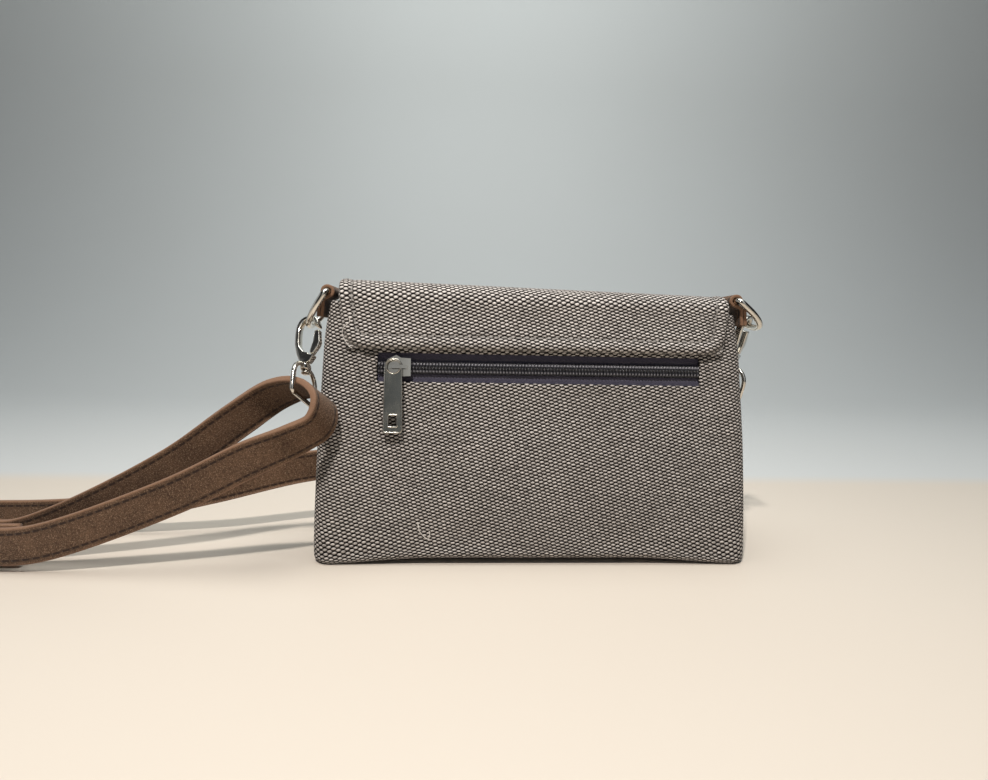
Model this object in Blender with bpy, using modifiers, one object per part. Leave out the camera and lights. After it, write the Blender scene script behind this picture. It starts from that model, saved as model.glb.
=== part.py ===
"""A small canvas clutch bag with a flap, a zip pocket at the back and a long leather strap.

Metres, +Z up. The bag stands on its base at the origin. Its back, with the zip, faces -Y,
and the flap hangs down the front, which faces +Y. The strap runs from the clasp at the left,
away along the shelf, back behind the bag and up to the clasp at the right.
"""

from math import atan2, copysign, cos, radians, sin

import bmesh
import bpy
import numpy as np
from mathutils import Matrix, Vector

CLEARANCE = 0.0003

# Pouch of heavy canvas
BAG_WIDTH = 0.2094
BAG_DEPTH = 0.0440
BAG_HEIGHT = 0.1310
CANVAS = 0.0020
TOP_TILT = 0.0031
MIDDLE_CURL = 0.0060
CORNER_CURL = 0.0025
CURL_REACH = 0.30

# Flap, sewn on at the back and hanging down the front
FLAP_THICKNESS = 0.0022
FLAP_BACK_INSET = 0.0162
FLAP_BACK_CORNER = 0.0028
FLAP_TOP_INSET = 0.0113
FLAP_CORNER = 0.0200

# Snap between the flap and the front
SNAP_RADIUS = 0.0075
SNAP_THICKNESS = 0.0024

# Zip pocket in the back
ZIP_OPENING_LENGTH = 0.1530
ZIP_OPENING_HEIGHT = 0.0134
ZIP_OFFSET = 0.0022
ZIP_BELOW_FLAP = 0.008015
ZIP_SLOPE_REACH = 0.0100
TAPE_MARGIN = 0.0040
TAPE_THICKNESS = 0.0008
COIL_HEIGHT = 0.0060
COIL_THICKNESS = 0.0022
COIL_END_GAP = 0.0006

# Slider and its pull
SLIDER_FROM_END = 0.0102
SLIDER_LENGTH = 0.0112
SLIDER_HEIGHT = 0.0112
SLIDER_PLATE = 0.0012
BRIDGE_WIDTH = 0.0016
BRIDGE_THICKNESS = 0.0010
BRIDGE_ROOT_SHARE = 0.70
CHEEK_LENGTH_SHARE = 0.78
CHEEK_REACH_SHARE = 0.70
EYE_ALONG_SHARE = -0.19
PULL_WIDTH = 0.0082
PULL_DROP = 0.0305
PULL_THICKNESS = 0.0014
PULL_EYE_RADIUS = 0.0031
PULL_WINDOW_WIDTH = 0.0039
PULL_WINDOW_HEIGHT = 0.0052
PULL_FOOT = 0.0030
PULL_FLARE = 0.0003

# Leather tabs and D-rings at the two upper corners
TAB_WIDTH = 0.0140
TAB_LEATHER = 0.0016
TAB_TAIL = 0.0082
D_WIRE_RADIUS = 0.0015
D_RING_WIDTH = 0.0200
D_RING_DROP = 0.0190
D_RING_CORNER = 0.0025
D_RING_STRAIGHT_SHARE = 0.30

# Trigger clasps: a hook with a sprung gate, on a swivel ring
HOOK_WIDTH = 0.0126
HOOK_LENGTH = 0.0255
HOOK_BAR = 0.0022
HOOK_CROWN = 0.0017
HOOK_SLACK = 0.0014
HOOK_THICKNESS = 0.0033
HOOK_EDGE = 0.0003
ARCH_FULLNESS = 0.80
ARCH_CENTRE_SHARE = 0.36
PIVOT_ACROSS_SHARE = 0.25
PIVOT_DOWN_SHARE = 0.79
GATE_BAR = 0.0023
PIN_RADIUS = 0.0010
PIN_HEAD_RADIUS = 0.0019
PIN_HEAD_HEIGHT = 0.0012
BOSS_HEIGHT = 0.0036
BOSS_WIDTH = 0.0066
BOSS_THICKNESS = 0.0044
SWIVEL_WIRE_RADIUS = 0.0009
SWIVEL_RING_DROP = 0.0160
SWIVEL_CORNER = 0.0018

# Strap
STRAP_WIDTH = 0.0170
STRAP_THICKNESS = 0.0030
STRAP_STEP = 0.0070
FOLD_TAIL = 0.0160

# Slide on the strap
SLIDE_BAR = 0.0016
SLIDE_PITCH = 0.0150
SLIDE_RAIL = 0.0024

# Shape of the pouch: shares of the bag's height, half width and half depth
POUCH_SECTIONS = (
    # height, width, depth
    (0.000, 0.996, 1.000),
    (0.060, 1.000, 0.985),
    (0.200, 0.996, 0.915),
    (0.450, 0.986, 0.775),
    (0.620, 0.973, 0.655),
    (0.800, 0.962, 0.510),
    (0.925, 0.940, 0.425),
    (1.000, 0.900, 0.370),
)
ROW_HEIGHTS = (0.100, 0.160, 0.230, 0.310, 0.390, 0.470, 0.550, 0.620, 0.700, 0.780, 0.850, 0.925)
PANEL_CORNER = 0.0090
CORNER_SHARE = 0.90
PANEL_STEPS = 16
CORNER_STEPS = 5
CURL_ANGLES = (0, 25, 50, 70, 90)

# Soft hollows and swellings of the two panels: shares of the half width and height, depth in metres
PANEL_FORM = (
    # across, up, reach across, reach up, depth
    (0.05, 0.34, 0.75, 0.22, 0.0014),
    (-0.82, 0.40, 0.16, 0.20, -0.0011),
    (0.86, 0.44, 0.14, 0.24, -0.0009),
    (-0.35, 0.08, 0.22, 0.07, -0.0007),
    (0.40, 0.10, 0.26, 0.08, -0.0006),
)
PLAIN_ABOVE = 0.60
FORM_FADE_TOP = 0.15
FORM_FADE_FOOT = 0.05

# Flap down the front: shares of the bag's height
FLAP_BACK_EDGE = 0.765
FLAP_ARCH = 0.925
FLAP_FRONT_EDGE = 0.260
SNAP_UP = 0.360
SNAP_RAMP = 0.700

# Upper edge of the slider's plate: shares of its half length and half height
SLIDER_EDGE = (
    # along, up
    (-1.00, 0.45),
    (-0.93, 0.64),
    (-0.20, 1.00),
    (0.20, 0.78),
    (1.00, 0.73),
)

# Where the D-rings hang: in from the bag's side, up as a share of its height, lean in degrees,
# and the angle on the ring's bow at which the hook sits
D_RING_LEFT = (0.0066, 0.969, 33.0, -100.0)
D_RING_RIGHT = (0.0074, 0.964, 50.0, -50.0)

# How the clasps and their swivel rings stand: the way across each and the way up the clasp
LEFT_CLASP_ACROSS = (0.950, -0.210, 0.200)
LEFT_CLASP_UP = (-0.160, 0.520, 0.835)
RIGHT_CLASP_ACROSS = (0.744, 0.622, 0.145)
RIGHT_CLASP_UP = (0.050, -0.330, 0.940)
LEFT_SWIVEL_ACROSS = (0.170, 0.850, -0.475)
RIGHT_SWIVEL_ACROSS = (-0.350, 0.880, -0.300)


def clear_scene():
    """Takes out whatever the open file holds."""
    for o in list(bpy.data.objects):
        bpy.data.objects.remove(o, do_unlink=True)


def new_collection(name):
    """A collection in the scene, made anew."""
    old = bpy.data.collections.get(name)
    if old:
        bpy.data.collections.remove(old)
    c = bpy.data.collections.new(name)
    bpy.context.scene.collection.children.link(c)
    return c


def material(name, colour, roughness, metallic=0.0):
    """A plain Principled material."""
    m = bpy.data.materials.new(name)
    m.use_nodes = True
    p = m.node_tree.nodes["Principled BSDF"]
    p.inputs["Base Color"].default_value = (*colour, 1.0)
    p.inputs["Roughness"].default_value = roughness
    p.inputs["Metallic"].default_value = metallic
    return m


def place(o, name, mat, collection):
    """Names an object, gives it its material and puts it in its collection alone."""
    o.name = name
    for c in list(o.users_collection):
        c.objects.unlink(o)
    collection.objects.link(o)
    if mat:
        o.data.materials.clear()
        o.data.materials.append(mat)
    return o


def mesh_object(name, points, faces, mat, collection):
    """An object of hand-built faces."""
    m = bpy.data.meshes.new(name)
    m.from_pydata([tuple(map(float, p)) for p in points], [], faces)
    m.update()
    o = bpy.data.objects.new(name, m)
    return place(o, name, mat, collection)


def box(name, size, centre, mat, collection):
    """A box with its scale applied."""
    bpy.ops.mesh.primitive_cube_add(size=1.0)
    o = bpy.context.object
    o.data.transform(Matrix.Diagonal((*size, 1.0)))
    o.location = centre
    return place(o, name, mat, collection)


def cylinder(name, radius, length, frame, mat, collection, sides=16):
    """A cylinder along the local z axis of a frame."""
    bpy.ops.mesh.primitive_cylinder_add(vertices=sides, radius=radius, depth=length)
    o = bpy.context.object
    o.matrix_world = frame
    return place(o, name, mat, collection)


def curve_object(name, outlines, collection, dimensions="2D", cyclic=True):
    """A curve of straight segments through the points of each outline."""
    c = bpy.data.curves.new(name, "CURVE")
    c.dimensions = dimensions
    for outline in outlines:
        s = c.splines.new("POLY")
        s.points.add(len(outline) - 1)
        for p, q in zip(s.points, outline):
            p.co = (*q, 0.0, 1.0) if len(q) == 2 else (*q, 1.0)
        s.use_cyclic_u = cyclic
    o = bpy.data.objects.new(name, c)
    collection.objects.link(o)
    return o


def to_mesh(o, name, mat, collection):
    """Turns a curve into a closed mesh at the same place."""
    bpy.context.view_layer.update()
    m = bpy.data.meshes.new_from_object(o.evaluated_get(bpy.context.evaluated_depsgraph_get()))
    b = bmesh.new()
    b.from_mesh(m)
    bmesh.ops.remove_doubles(b, verts=b.verts, dist=1e-6)
    bmesh.ops.recalc_face_normals(b, faces=b.faces)
    b.to_mesh(m)
    b.free()
    new = bpy.data.objects.new(name, m)
    new.matrix_world = o.matrix_world.copy()
    new.parent = o.parent
    bpy.data.objects.remove(o, do_unlink=True)
    return place(new, name, mat, collection)


def plate(name, outlines, thickness, mat, collection):
    """A flat outline with holes, as thick as said, lying in its local XY plane."""
    o = curve_object(name, outlines, collection)
    o.data.fill_mode = "BOTH"
    o.data.extrude = thickness / 2
    return to_mesh(o, name, mat, collection)


def wire(name, path, radius, mat, collection, cyclic=True, resolution=2):
    """A round wire along a path."""
    o = curve_object(name, [path], collection, "3D", cyclic)
    o.data.bevel_depth = radius
    o.data.bevel_resolution = resolution
    o.data.use_fill_caps = not cyclic
    return to_mesh(o, name, mat, collection)


def boolean(o, other, operation):
    """Cuts or joins another mesh and keeps it as a hidden tool."""
    m = o.modifiers.new(other.name, "BOOLEAN")
    m.operation = operation
    m.object = other
    m.solver = "EXACT"
    other.hide_render = True
    other.display_type = "WIRE"


def smooth(o, angle=35):
    """Shades round faces smooth and keeps sharp edges."""
    if o.type == "MESH":
        o.data.shade_smooth()
        o.data.set_sharp_from_angle(angle=radians(angle))
    return o


def frame_of(origin, x_axis, y_axis):
    """A matrix with the given origin and x axis, and y as near as it can be to the second one."""
    x = Vector(x_axis).normalized()
    z = x.cross(Vector(y_axis)).normalized()
    y = z.cross(x)
    m = Matrix((x, y, z)).transposed().to_4x4()
    m.translation = Vector(origin)
    return m


def arc(centre, radius, start, end, steps, squash=1.0, fullness=1.0):
    """Points along an arc in a plane, both ends included; angles in degrees.

    A fullness under 1 fills the arc's shoulders out towards a square.
    """
    angles = [radians(start + (end - start) * i / steps) for i in range(steps + 1)]
    points = []
    for a in angles:
        x = copysign(abs(cos(a)) ** fullness, cos(a))
        y = copysign(abs(sin(a)) ** fullness, sin(a))
        points.append((centre[0] + radius * x, centre[1] + radius * squash * y))
    return points


def half_width(z):
    """Half the pouch's width at a height."""
    rows = np.array(POUCH_SECTIONS)
    return float(np.interp(z / BAG_HEIGHT, rows[:, 0], rows[:, 1])) * BAG_WIDTH / 2


def half_depth(z):
    """Half the pouch's depth at a height."""
    rows = np.array(POUCH_SECTIONS)
    return float(np.interp(z / BAG_HEIGHT, rows[:, 0], rows[:, 2])) * BAG_DEPTH / 2


def corner_radius(b):
    """The radius of the upright corners where the pouch is b deep to each side."""
    return min(PANEL_CORNER, CORNER_SHARE * b)


def tilt(x, z):
    """How far the left side stands above the right one, growing towards the top."""
    return -TOP_TILT * (2 * x / BAG_WIDTH) * max(z / BAG_HEIGHT, 0.0) ** 8


def panel_form(x, z):
    """The soft hollows and swellings of a panel, outward positive."""
    across, up = 2 * x / BAG_WIDTH, z / BAG_HEIGHT
    total = 0.0
    for a, u, reach_a, reach_u, depth in PANEL_FORM:
        total += depth * np.exp(-(((across - a) / reach_a) ** 2) - ((up - u) / reach_u) ** 2)
    fade = np.clip((PLAIN_ABOVE - up) / FORM_FADE_TOP, 0.0, 1.0)
    fade *= np.clip(up / FORM_FADE_FOOT, 0.0, 1.0)
    return total * fade


def section(a, b, corner):
    """A rounded rectangle of half sizes a and b, counter-clockwise seen from above."""
    flat, side = a - corner, b - corner
    points = [(-flat + 2 * flat * i / PANEL_STEPS, -b) for i in range(PANEL_STEPS)]
    points += arc((flat, -side), corner, -90, 0, CORNER_STEPS)
    points += arc((flat, side), corner, 0, 90, CORNER_STEPS)
    points += [(flat - 2 * flat * i / PANEL_STEPS, b) for i in range(1, PANEL_STEPS)]
    points += arc((-flat, side), corner, 90, 180, CORNER_STEPS)
    points += arc((-flat, -side), corner, 180, 270, CORNER_STEPS)[:-1]
    return points


def curl_at(x):
    """The radius at which a panel turns under the base: small at the corners."""
    share = np.clip((1 - 2 * abs(x) / BAG_WIDTH) / CURL_REACH, 0.0, 1.0)
    ease = share * share * (3 - 2 * share)
    return CORNER_CURL + (MIDDLE_CURL - CORNER_CURL) * ease


def pouch_rows():
    """The pouch's outer rings from the flat base to the rim."""
    rows = []
    for angle in CURL_ANGLES:
        a, b = half_width(0.0), half_depth(0.0)
        whole = section(a, b, corner_radius(b))
        row = []
        for x, y in whole:
            curl = curl_at(x)
            inset = curl * (1 - sin(radians(angle)))
            z = curl * (1 - cos(radians(angle)))
            row.append((x * (a - inset) / a, y * (b - inset) / b, z))
        rows.append(row)
    for share in ROW_HEIGHTS:
        z = share * BAG_HEIGHT
        a, b = half_width(z), half_depth(z)
        row = []
        for x, y in section(a, b, corner_radius(b)):
            swell = panel_form(x, z) * abs(y) / b
            row.append((x, y + swell * (1 if y > 0 else -1), z + tilt(x, z)))
        rows.append(row)
    return rows


def lofted(rows):
    """Points and faces of rings joined in order, with a flat face over the first one."""
    count = len(rows[0])
    points = [p for row in rows for p in row]
    faces = [tuple(range(count - 1, -1, -1))]
    for r in range(len(rows) - 1):
        for i in range(count):
            j = (i + 1) % count
            faces.append((r * count + i, r * count + j, (r + 1) * count + j, (r + 1) * count + i))
    return points, faces


def make_pouch(mat, parts, tools):
    """The canvas pouch: one open shell with the zip's opening cut through its back."""
    points, faces = lofted(pouch_rows())
    o = mesh_object("pouch", points, faces, mat, parts)
    shell = o.modifiers.new("wall", "SOLIDIFY")
    shell.thickness = CANVAS
    shell.offset = -1.0
    shell.use_even_offset = True
    depth = BAG_DEPTH / 2
    cut = box(
        "zip_opening",
        (ZIP_OPENING_LENGTH, depth, ZIP_OPENING_HEIGHT),
        (ZIP_OFFSET, -half_depth(zip_height()) + CANVAS / 2, zip_height()),
        None,
        tools,
    )
    boolean(o, cut, "DIFFERENCE")
    smooth(o, 40)


def flap_path():
    """The flap's inner face seen from the side: back edge, over the top, front edge."""
    arch = FLAP_ARCH * BAG_HEIGHT
    reach = half_depth(arch) + CLEARANCE
    rise = BAG_HEIGHT - FLAP_THICKNESS - arch
    path = []
    for i in range(5):
        z = BAG_HEIGHT * (FLAP_BACK_EDGE + (FLAP_ARCH - FLAP_BACK_EDGE) * i / 4)
        path.append((-half_depth(z) - CLEARANCE, z))
    for i in range(1, 10):
        a = radians(180 - 180 * i / 10)
        path.append((reach * cos(a), arch + rise * sin(a)))
    steps = 16
    for i in range(steps + 1):
        share = FLAP_ARCH + (FLAP_FRONT_EDGE - FLAP_ARCH) * i / steps
        z = BAG_HEIGHT * share
        ramp = min((FLAP_ARCH - share) / (FLAP_ARCH - SNAP_RAMP), 1.0)
        lift = ramp * (SNAP_THICKNESS + 2 * CLEARANCE + max(row[4] for row in PANEL_FORM))
        path.append((half_depth(z) + CLEARANCE + lift, z))
    return path


def flap_half_width(i, path):
    """Half the flap's width at a row of its path: narrower at the back, rounded at the front."""
    y, z = path[i]
    if y < 0:
        share = np.clip((z / BAG_HEIGHT - FLAP_BACK_EDGE) / (1 - FLAP_BACK_EDGE), 0.0, 1.0)
        corner = FLAP_BACK_CORNER if i == 0 else 0.0
        return BAG_WIDTH / 2 - FLAP_BACK_INSET + (FLAP_BACK_INSET - FLAP_TOP_INSET) * share - corner
    above = max(z - FLAP_FRONT_EDGE * BAG_HEIGHT, 0.0)
    whole = BAG_WIDTH / 2 - FLAP_TOP_INSET
    if above >= FLAP_CORNER:
        return whole
    return whole - FLAP_CORNER + (FLAP_CORNER**2 - (FLAP_CORNER - above) ** 2) ** 0.5


def make_flap(mat, parts):
    """The flap: one sheet from the seam at the back over the top and down the front."""
    path = flap_path()
    columns = 14
    points, faces = [], []
    for i, (y, z) in enumerate(path):
        wide = flap_half_width(i, path)
        for j in range(columns + 1):
            x = wide * (2 * j / columns - 1)
            points.append((x, y, z + tilt(x, z)))
    for i in range(len(path) - 1):
        for j in range(columns):
            k = i * (columns + 1) + j
            faces.append((k, k + 1, k + columns + 2, k + columns + 1))
    o = mesh_object("flap", points, faces, mat, parts)
    sheet = o.modifiers.new("thickness", "SOLIDIFY")
    sheet.thickness = FLAP_THICKNESS
    sheet.offset = 1.0
    sheet.use_even_offset = True
    smooth(o, 40)


def make_snap(mat, parts):
    """The snap that holds the flap to the front: a plain disc between the two."""
    z = SNAP_UP * BAG_HEIGHT
    slope = (half_depth(z - 0.01) - half_depth(z + 0.01)) / 0.02
    inner = half_depth(z) + panel_form(0.0, z) + CLEARANCE
    lean = atan2(slope, 1.0)
    turn = Matrix.Rotation(lean - radians(90), 4, "X")
    normal = Vector((0, cos(lean), sin(lean)))
    centre = Vector((0, inner, z)) + normal * SNAP_THICKNESS / 2
    frame = Matrix.Translation(centre) @ turn
    o = cylinder("flap_snap", SNAP_RADIUS, SNAP_THICKNESS, frame, mat, parts, 24)
    smooth(o)


def zip_height():
    """How high the zip's middle is: a set way under the flap's edge at the back."""
    return FLAP_BACK_EDGE * BAG_HEIGHT - ZIP_BELOW_FLAP


def zip_frame():
    """The frame of the zip: on the back's outer face, x along it, y up the panel, z outward."""
    middle = zip_height()
    low, high = middle - ZIP_SLOPE_REACH, middle + ZIP_SLOPE_REACH
    slope = (half_depth(low) - half_depth(high)) / (high - low)
    up = Vector((0, slope, 1)).normalized()
    return frame_of((ZIP_OFFSET, -half_depth(middle), middle), (1, 0, 0), up)


def make_zip(tape_mat, coil_mat, parts):
    """The zip's tape behind the opening and the closed chain of its coils within it."""
    frame = zip_frame()
    size = (ZIP_OPENING_LENGTH + 2 * TAPE_MARGIN, ZIP_OPENING_HEIGHT + 2 * TAPE_MARGIN)
    behind = -(CANVAS + CLEARANCE + TAPE_THICKNESS / 2)
    tape = box("zip_tape", (*size, TAPE_THICKNESS), (0, 0, 0), tape_mat, parts)
    tape.matrix_world = frame @ Matrix.Translation((0, 0, behind))
    middle = -(CANVAS - COIL_THICKNESS / 2)
    long = ZIP_OPENING_LENGTH - 2 * COIL_END_GAP
    coil = box("zip_coil", (long, COIL_HEIGHT, COIL_THICKNESS), (0, 0, 0), coil_mat, parts)
    coil.matrix_world = frame @ Matrix.Translation((0, 0, middle))
    round_off = coil.modifiers.new("edges", "BEVEL")
    round_off.width = COIL_THICKNESS * 0.3
    round_off.segments = 2
    smooth(coil)


def slider_frame():
    """The slider's own frame: its middle, on the back's outer face."""
    along = -ZIP_OPENING_LENGTH / 2 + SLIDER_FROM_END
    return zip_frame() @ Matrix.Translation((along, 0, 0))


def plate_level():
    """How far the slider's plate stands off the back's outer face."""
    return COIL_THICKNESS - CANVAS + CLEARANCE


def make_slider(mat, parts, tools):
    """The slider: a shouldered plate over the coils, a cheek on each side and a bridge on top."""
    frame = slider_frame()
    half, tall = SLIDER_LENGTH / 2, SLIDER_HEIGHT / 2
    upper = [(along * half, up * tall) for along, up in SLIDER_EDGE]
    outline = upper + [(x, -y) for x, y in reversed(upper)]
    body = plate("zip_slider", [outline], SLIDER_PLATE, mat, parts)
    body.matrix_world = frame @ Matrix.Translation((0, 0, plate_level() + SLIDER_PLATE / 2))
    cheek_inner = COIL_HEIGHT / 2 + CLEARANCE
    cheek_outer = CHEEK_REACH_SHARE * tall
    drop = COIL_THICKNESS - 2 * CLEARANCE
    for side, name in ((1, "upper_cheek"), (-1, "lower_cheek")):
        size = (CHEEK_LENGTH_SHARE * SLIDER_LENGTH, cheek_outer - cheek_inner, drop + SLIDER_PLATE / 2)
        cheek = box(name, size, (0, 0, 0), None, tools)
        middle = plate_level() + SLIDER_PLATE / 4 - drop / 2
        cheek.matrix_world = frame @ Matrix.Translation(
            (0, side * (cheek_inner + cheek_outer) / 2, middle))
        boolean(body, cheek, "UNION")
    base = plate_level() + SLIDER_PLATE
    under = base + PULL_THICKNESS + 2 * CLEARANCE
    left, right = bridge_feet()
    thick = BRIDGE_THICKNESS
    root = base - BRIDGE_ROOT_SHARE * SLIDER_PLATE
    tip = under + thick
    for name, low_x, high_x, low_z in (
        ("left_foot", left, left + thick, root),
        ("right_foot", right - thick, right, root),
        ("beam", left, right, under),
    ):
        bar = box(name, (high_x - low_x, BRIDGE_WIDTH, tip - low_z), (0, 0, 0), None, tools)
        bar.matrix_world = frame @ Matrix.Translation(((low_x + high_x) / 2, 0, (low_z + tip) / 2))
        boolean(body, bar, "UNION")


def eye_along():
    """Where the pull's eye has its centre, along the zip from the slider's middle."""
    return EYE_ALONG_SHARE * SLIDER_LENGTH


def bridge_feet():
    """The outer ends of the bridge's two feet: one within the pull's eye, one beyond it."""
    left = eye_along() - 0.6 * PULL_EYE_RADIUS
    right = eye_along() + PULL_WIDTH / 2 + 4 * CLEARANCE + BRIDGE_THICKNESS
    return left, right


def make_pull(mat, parts):
    """The pull: a long plate with a round eye on the bridge and a window near its foot."""
    wide, foot = PULL_WIDTH / 2, PULL_WIDTH / 2 + PULL_FLARE
    outline = arc((0, 0), wide, 180, 0, 14) + [(foot, -PULL_DROP), (-foot, -PULL_DROP)]
    eye = arc((0, 0), PULL_EYE_RADIUS, 0, 345, 23)
    low = -PULL_DROP + PULL_FOOT
    half = PULL_WINDOW_WIDTH / 2
    window = [(-half, low), (half, low), (half, low + PULL_WINDOW_HEIGHT), (-half, low + PULL_WINDOW_HEIGHT)]
    level = plate_level() + SLIDER_PLATE + CLEARANCE + PULL_THICKNESS / 2
    axis = bpy.data.objects.new("pull_axis", None)
    parts.objects.link(axis)
    axis.matrix_world = slider_frame() @ Matrix.Translation((eye_along(), 0, level))
    o = plate("zip_pull", [outline, eye, window], PULL_THICKNESS, mat, parts)
    o.parent = axis
    smooth(o)


def d_ring_hinge(side):
    """The middle of a D-ring's straight bar and the way the ring hangs, at one side of the bag."""
    inset, share, lean, _ = D_RING_LEFT if side < 0 else D_RING_RIGHT
    z = share * BAG_HEIGHT
    x = side * (BAG_WIDTH / 2 - inset)
    return Vector((x, 0, z)), Vector((side * sin(radians(lean)), 0, -cos(radians(lean))))


def d_ring_bow():
    """Where the D-ring's bow has its centre below the bar, and how deep it is."""
    straight = D_RING_STRAIGHT_SHARE * D_RING_DROP
    return straight, D_RING_DROP - straight


def d_ring_outline():
    """A D in its own plane: the bar along x at the top, the bow below it."""
    half, corner = D_RING_WIDTH / 2, D_RING_CORNER
    straight, bow = d_ring_bow()
    points = arc((half - corner, -corner), corner, 90, 0, 3)
    points += arc((0, -straight), half, 0, -180, 18, bow / half)
    points += arc((-half + corner, -corner), corner, 180, 90, 3)
    return points


def make_d_ring(side, name, mat, parts):
    """One D-ring, its bar held in the leather tab."""
    middle, hang = d_ring_hinge(side)
    o = wire(name, [(x, y, 0) for x, y in d_ring_outline()], D_WIRE_RADIUS, mat, parts)
    o.matrix_world = frame_of(middle, (0, 1, 0), -hang)
    smooth(o, 60)


def make_tab(side, name, mat, parts):
    """A strip of leather folded over the D-ring's bar and sewn to the bag's side."""
    middle, _ = d_ring_hinge(side)
    hole = D_WIRE_RADIUS + CLEARANCE
    outer = hole + TAB_LEATHER
    top, foot = middle.z - outer, middle.z - outer - TAB_TAIL
    inner_top = half_width(FLAP_ARCH * BAG_HEIGHT) + 3 * CLEARANCE
    inner_foot = half_width(foot) + 3 * CLEARANCE
    bar = abs(middle.x)
    around = arc((bar, middle.z), outer, 215, -35, 14)
    thick = 2 * TAB_LEATHER
    outline = [(inner_top, top)] + around + [(inner_top + thick, top)]
    outline += [(inner_foot + thick, foot), (inner_foot, foot)]
    eye = arc((bar, middle.z), hole, 0, 330, 11)
    flip = 1 if side > 0 else -1
    outline = [(flip * x, z) for x, z in outline]
    eye = [(flip * x, z) for x, z in eye]
    o = plate(name, [outline, eye], TAB_WIDTH, mat, parts)
    o.matrix_world = Matrix.Rotation(radians(90), 4, "X")


def clasp_frame(side):
    """A clasp's frame: origin in the D-ring's wire, x across the hook, y up along it."""
    middle, hang = d_ring_hinge(side)
    straight, bow = d_ring_bow()
    angle = radians(D_RING_LEFT[3] if side < 0 else D_RING_RIGHT[3])
    along = Vector((0, 1, 0)) * D_RING_WIDTH / 2 * cos(angle)
    seat = middle + along + hang * (straight - bow * sin(angle))
    if side < 0:
        return frame_of(seat, LEFT_CLASP_ACROSS, LEFT_CLASP_UP)
    return frame_of(seat, RIGHT_CLASP_ACROSS, RIGHT_CLASP_UP)


def hook_top():
    """The arch's outer top above the D-ring's wire centre."""
    return D_WIRE_RADIUS + HOOK_SLACK + HOOK_CROWN


def gate_pivot():
    """The gate's pivot in the clasp's frame."""
    return PIVOT_ACROSS_SHARE * HOOK_WIDTH, hook_top() - PIVOT_DOWN_SHARE * HOOK_LENGTH


def hook_outline():
    """The hook: an arch, its fixed arm and a base that leaves room for the gate's foot."""
    wide, inner = HOOK_WIDTH / 2, HOOK_WIDTH / 2 - HOOK_BAR
    top = hook_top()
    centre = top - ARCH_CENTRE_SHARE * HOOK_LENGTH
    tall = top - centre
    arch_out = arc((0, centre), wide, 8, 180, 14, tall / wide, ARCH_FULLNESS)
    arch_in = arc((0, centre), inner, 180, 13, 12, (tall - HOOK_CROWN) / inner, ARCH_FULLNESS)
    px, py = gate_pivot()
    clear = GATE_BAR / 2 + 2 * CLEARANCE
    low = top - HOOK_LENGTH
    seat = arc((px, py), clear, 180, 300, 6)
    arm_out = [(-0.97 * wide, top - 0.58 * HOOK_LENGTH), (-0.72 * wide, top - 0.82 * HOOK_LENGTH)]
    base = [(-0.36 * wide, low), (0.36 * wide, low), (0.72 * wide, py - clear)]
    arm_in = [(-0.10 * wide, py + 0.2 * clear), (-0.88 * inner, top - 0.62 * HOOK_LENGTH)]
    return arch_out + arm_out + base + seat[::-1] + arm_in + arch_in


def gate_outline():
    """The gate: a bowed lever from its round foot to a tip just under the arch's end."""
    px, py = gate_pivot()
    wide = HOOK_WIDTH / 2
    half = GATE_BAR / 2
    top = hook_top() - ARCH_CENTRE_SHARE * HOOK_LENGTH + 0.0002
    outer = [
        (0.99 * wide, top),
        (1.02 * wide, top - 0.10 * HOOK_LENGTH),
        (1.10 * wide, top - 0.26 * HOOK_LENGTH),
        (0.98 * wide, top - 0.35 * HOOK_LENGTH),
    ]
    foot = arc((px, py), half, -10, -150, 6)
    inner = [(0.30 * wide, py + 0.3 * half), (0.52 * wide, top - 0.22 * HOOK_LENGTH), (0.60 * wide, top)]
    return outer + foot + inner


def make_hook(side, name, mat, parts, tools):
    """The hook with the swivel pin under it, one piece of cast metal."""
    frame = clasp_frame(side)
    o = plate(name, [hook_outline()], HOOK_THICKNESS, mat, parts)
    o.matrix_world = frame
    low = hook_top() - HOOK_LENGTH
    reach = BOSS_HEIGHT + 2 * CLEARANCE + PIN_HEAD_HEIGHT
    overlap = 0.0010
    upright = Matrix.Rotation(radians(90), 4, "X")
    pin_at = frame @ Matrix.Translation((0, low + (overlap - reach) / 2, 0)) @ upright
    pin = cylinder(name + "_pin", PIN_RADIUS, reach + overlap, pin_at, None, tools, 12)
    head_at = low - BOSS_HEIGHT - 2 * CLEARANCE - PIN_HEAD_HEIGHT / 2
    head = cylinder(name + "_head", PIN_HEAD_RADIUS, PIN_HEAD_HEIGHT,
                    frame @ Matrix.Translation((0, head_at, 0)) @ upright, None, tools, 12)
    boolean(o, pin, "UNION")
    boolean(o, head, "UNION")
    edges = o.modifiers.new("edges", "BEVEL")
    edges.width = HOOK_EDGE
    edges.segments = 1
    edges.limit_method = "ANGLE"
    edges.angle_limit = radians(50)


def make_gate(side, name, mat, parts):
    """The sprung gate that closes the hook, with its origin on its pivot."""
    frame = clasp_frame(side)
    px, py = gate_pivot()
    outline = [(x - px, y - py) for x, y in gate_outline()]
    o = plate(name, [outline], HOOK_THICKNESS * 0.8, mat, parts)
    o.matrix_world = frame @ Matrix.Translation((px, py, 0))


def swivel_frame(side):
    """A swivel ring's frame: origin at the pin's axis under the hook, x along the strap's width."""
    clasp = clasp_frame(side)
    down = -clasp.col[1].xyz
    start = clasp @ Vector((0, hook_top() - HOOK_LENGTH - CLEARANCE, 0))
    across = Vector(LEFT_SWIVEL_ACROSS if side < 0 else RIGHT_SWIVEL_ACROSS)
    across = (across - down * across.dot(down)).normalized()
    return frame_of(start, across, -down)


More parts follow.
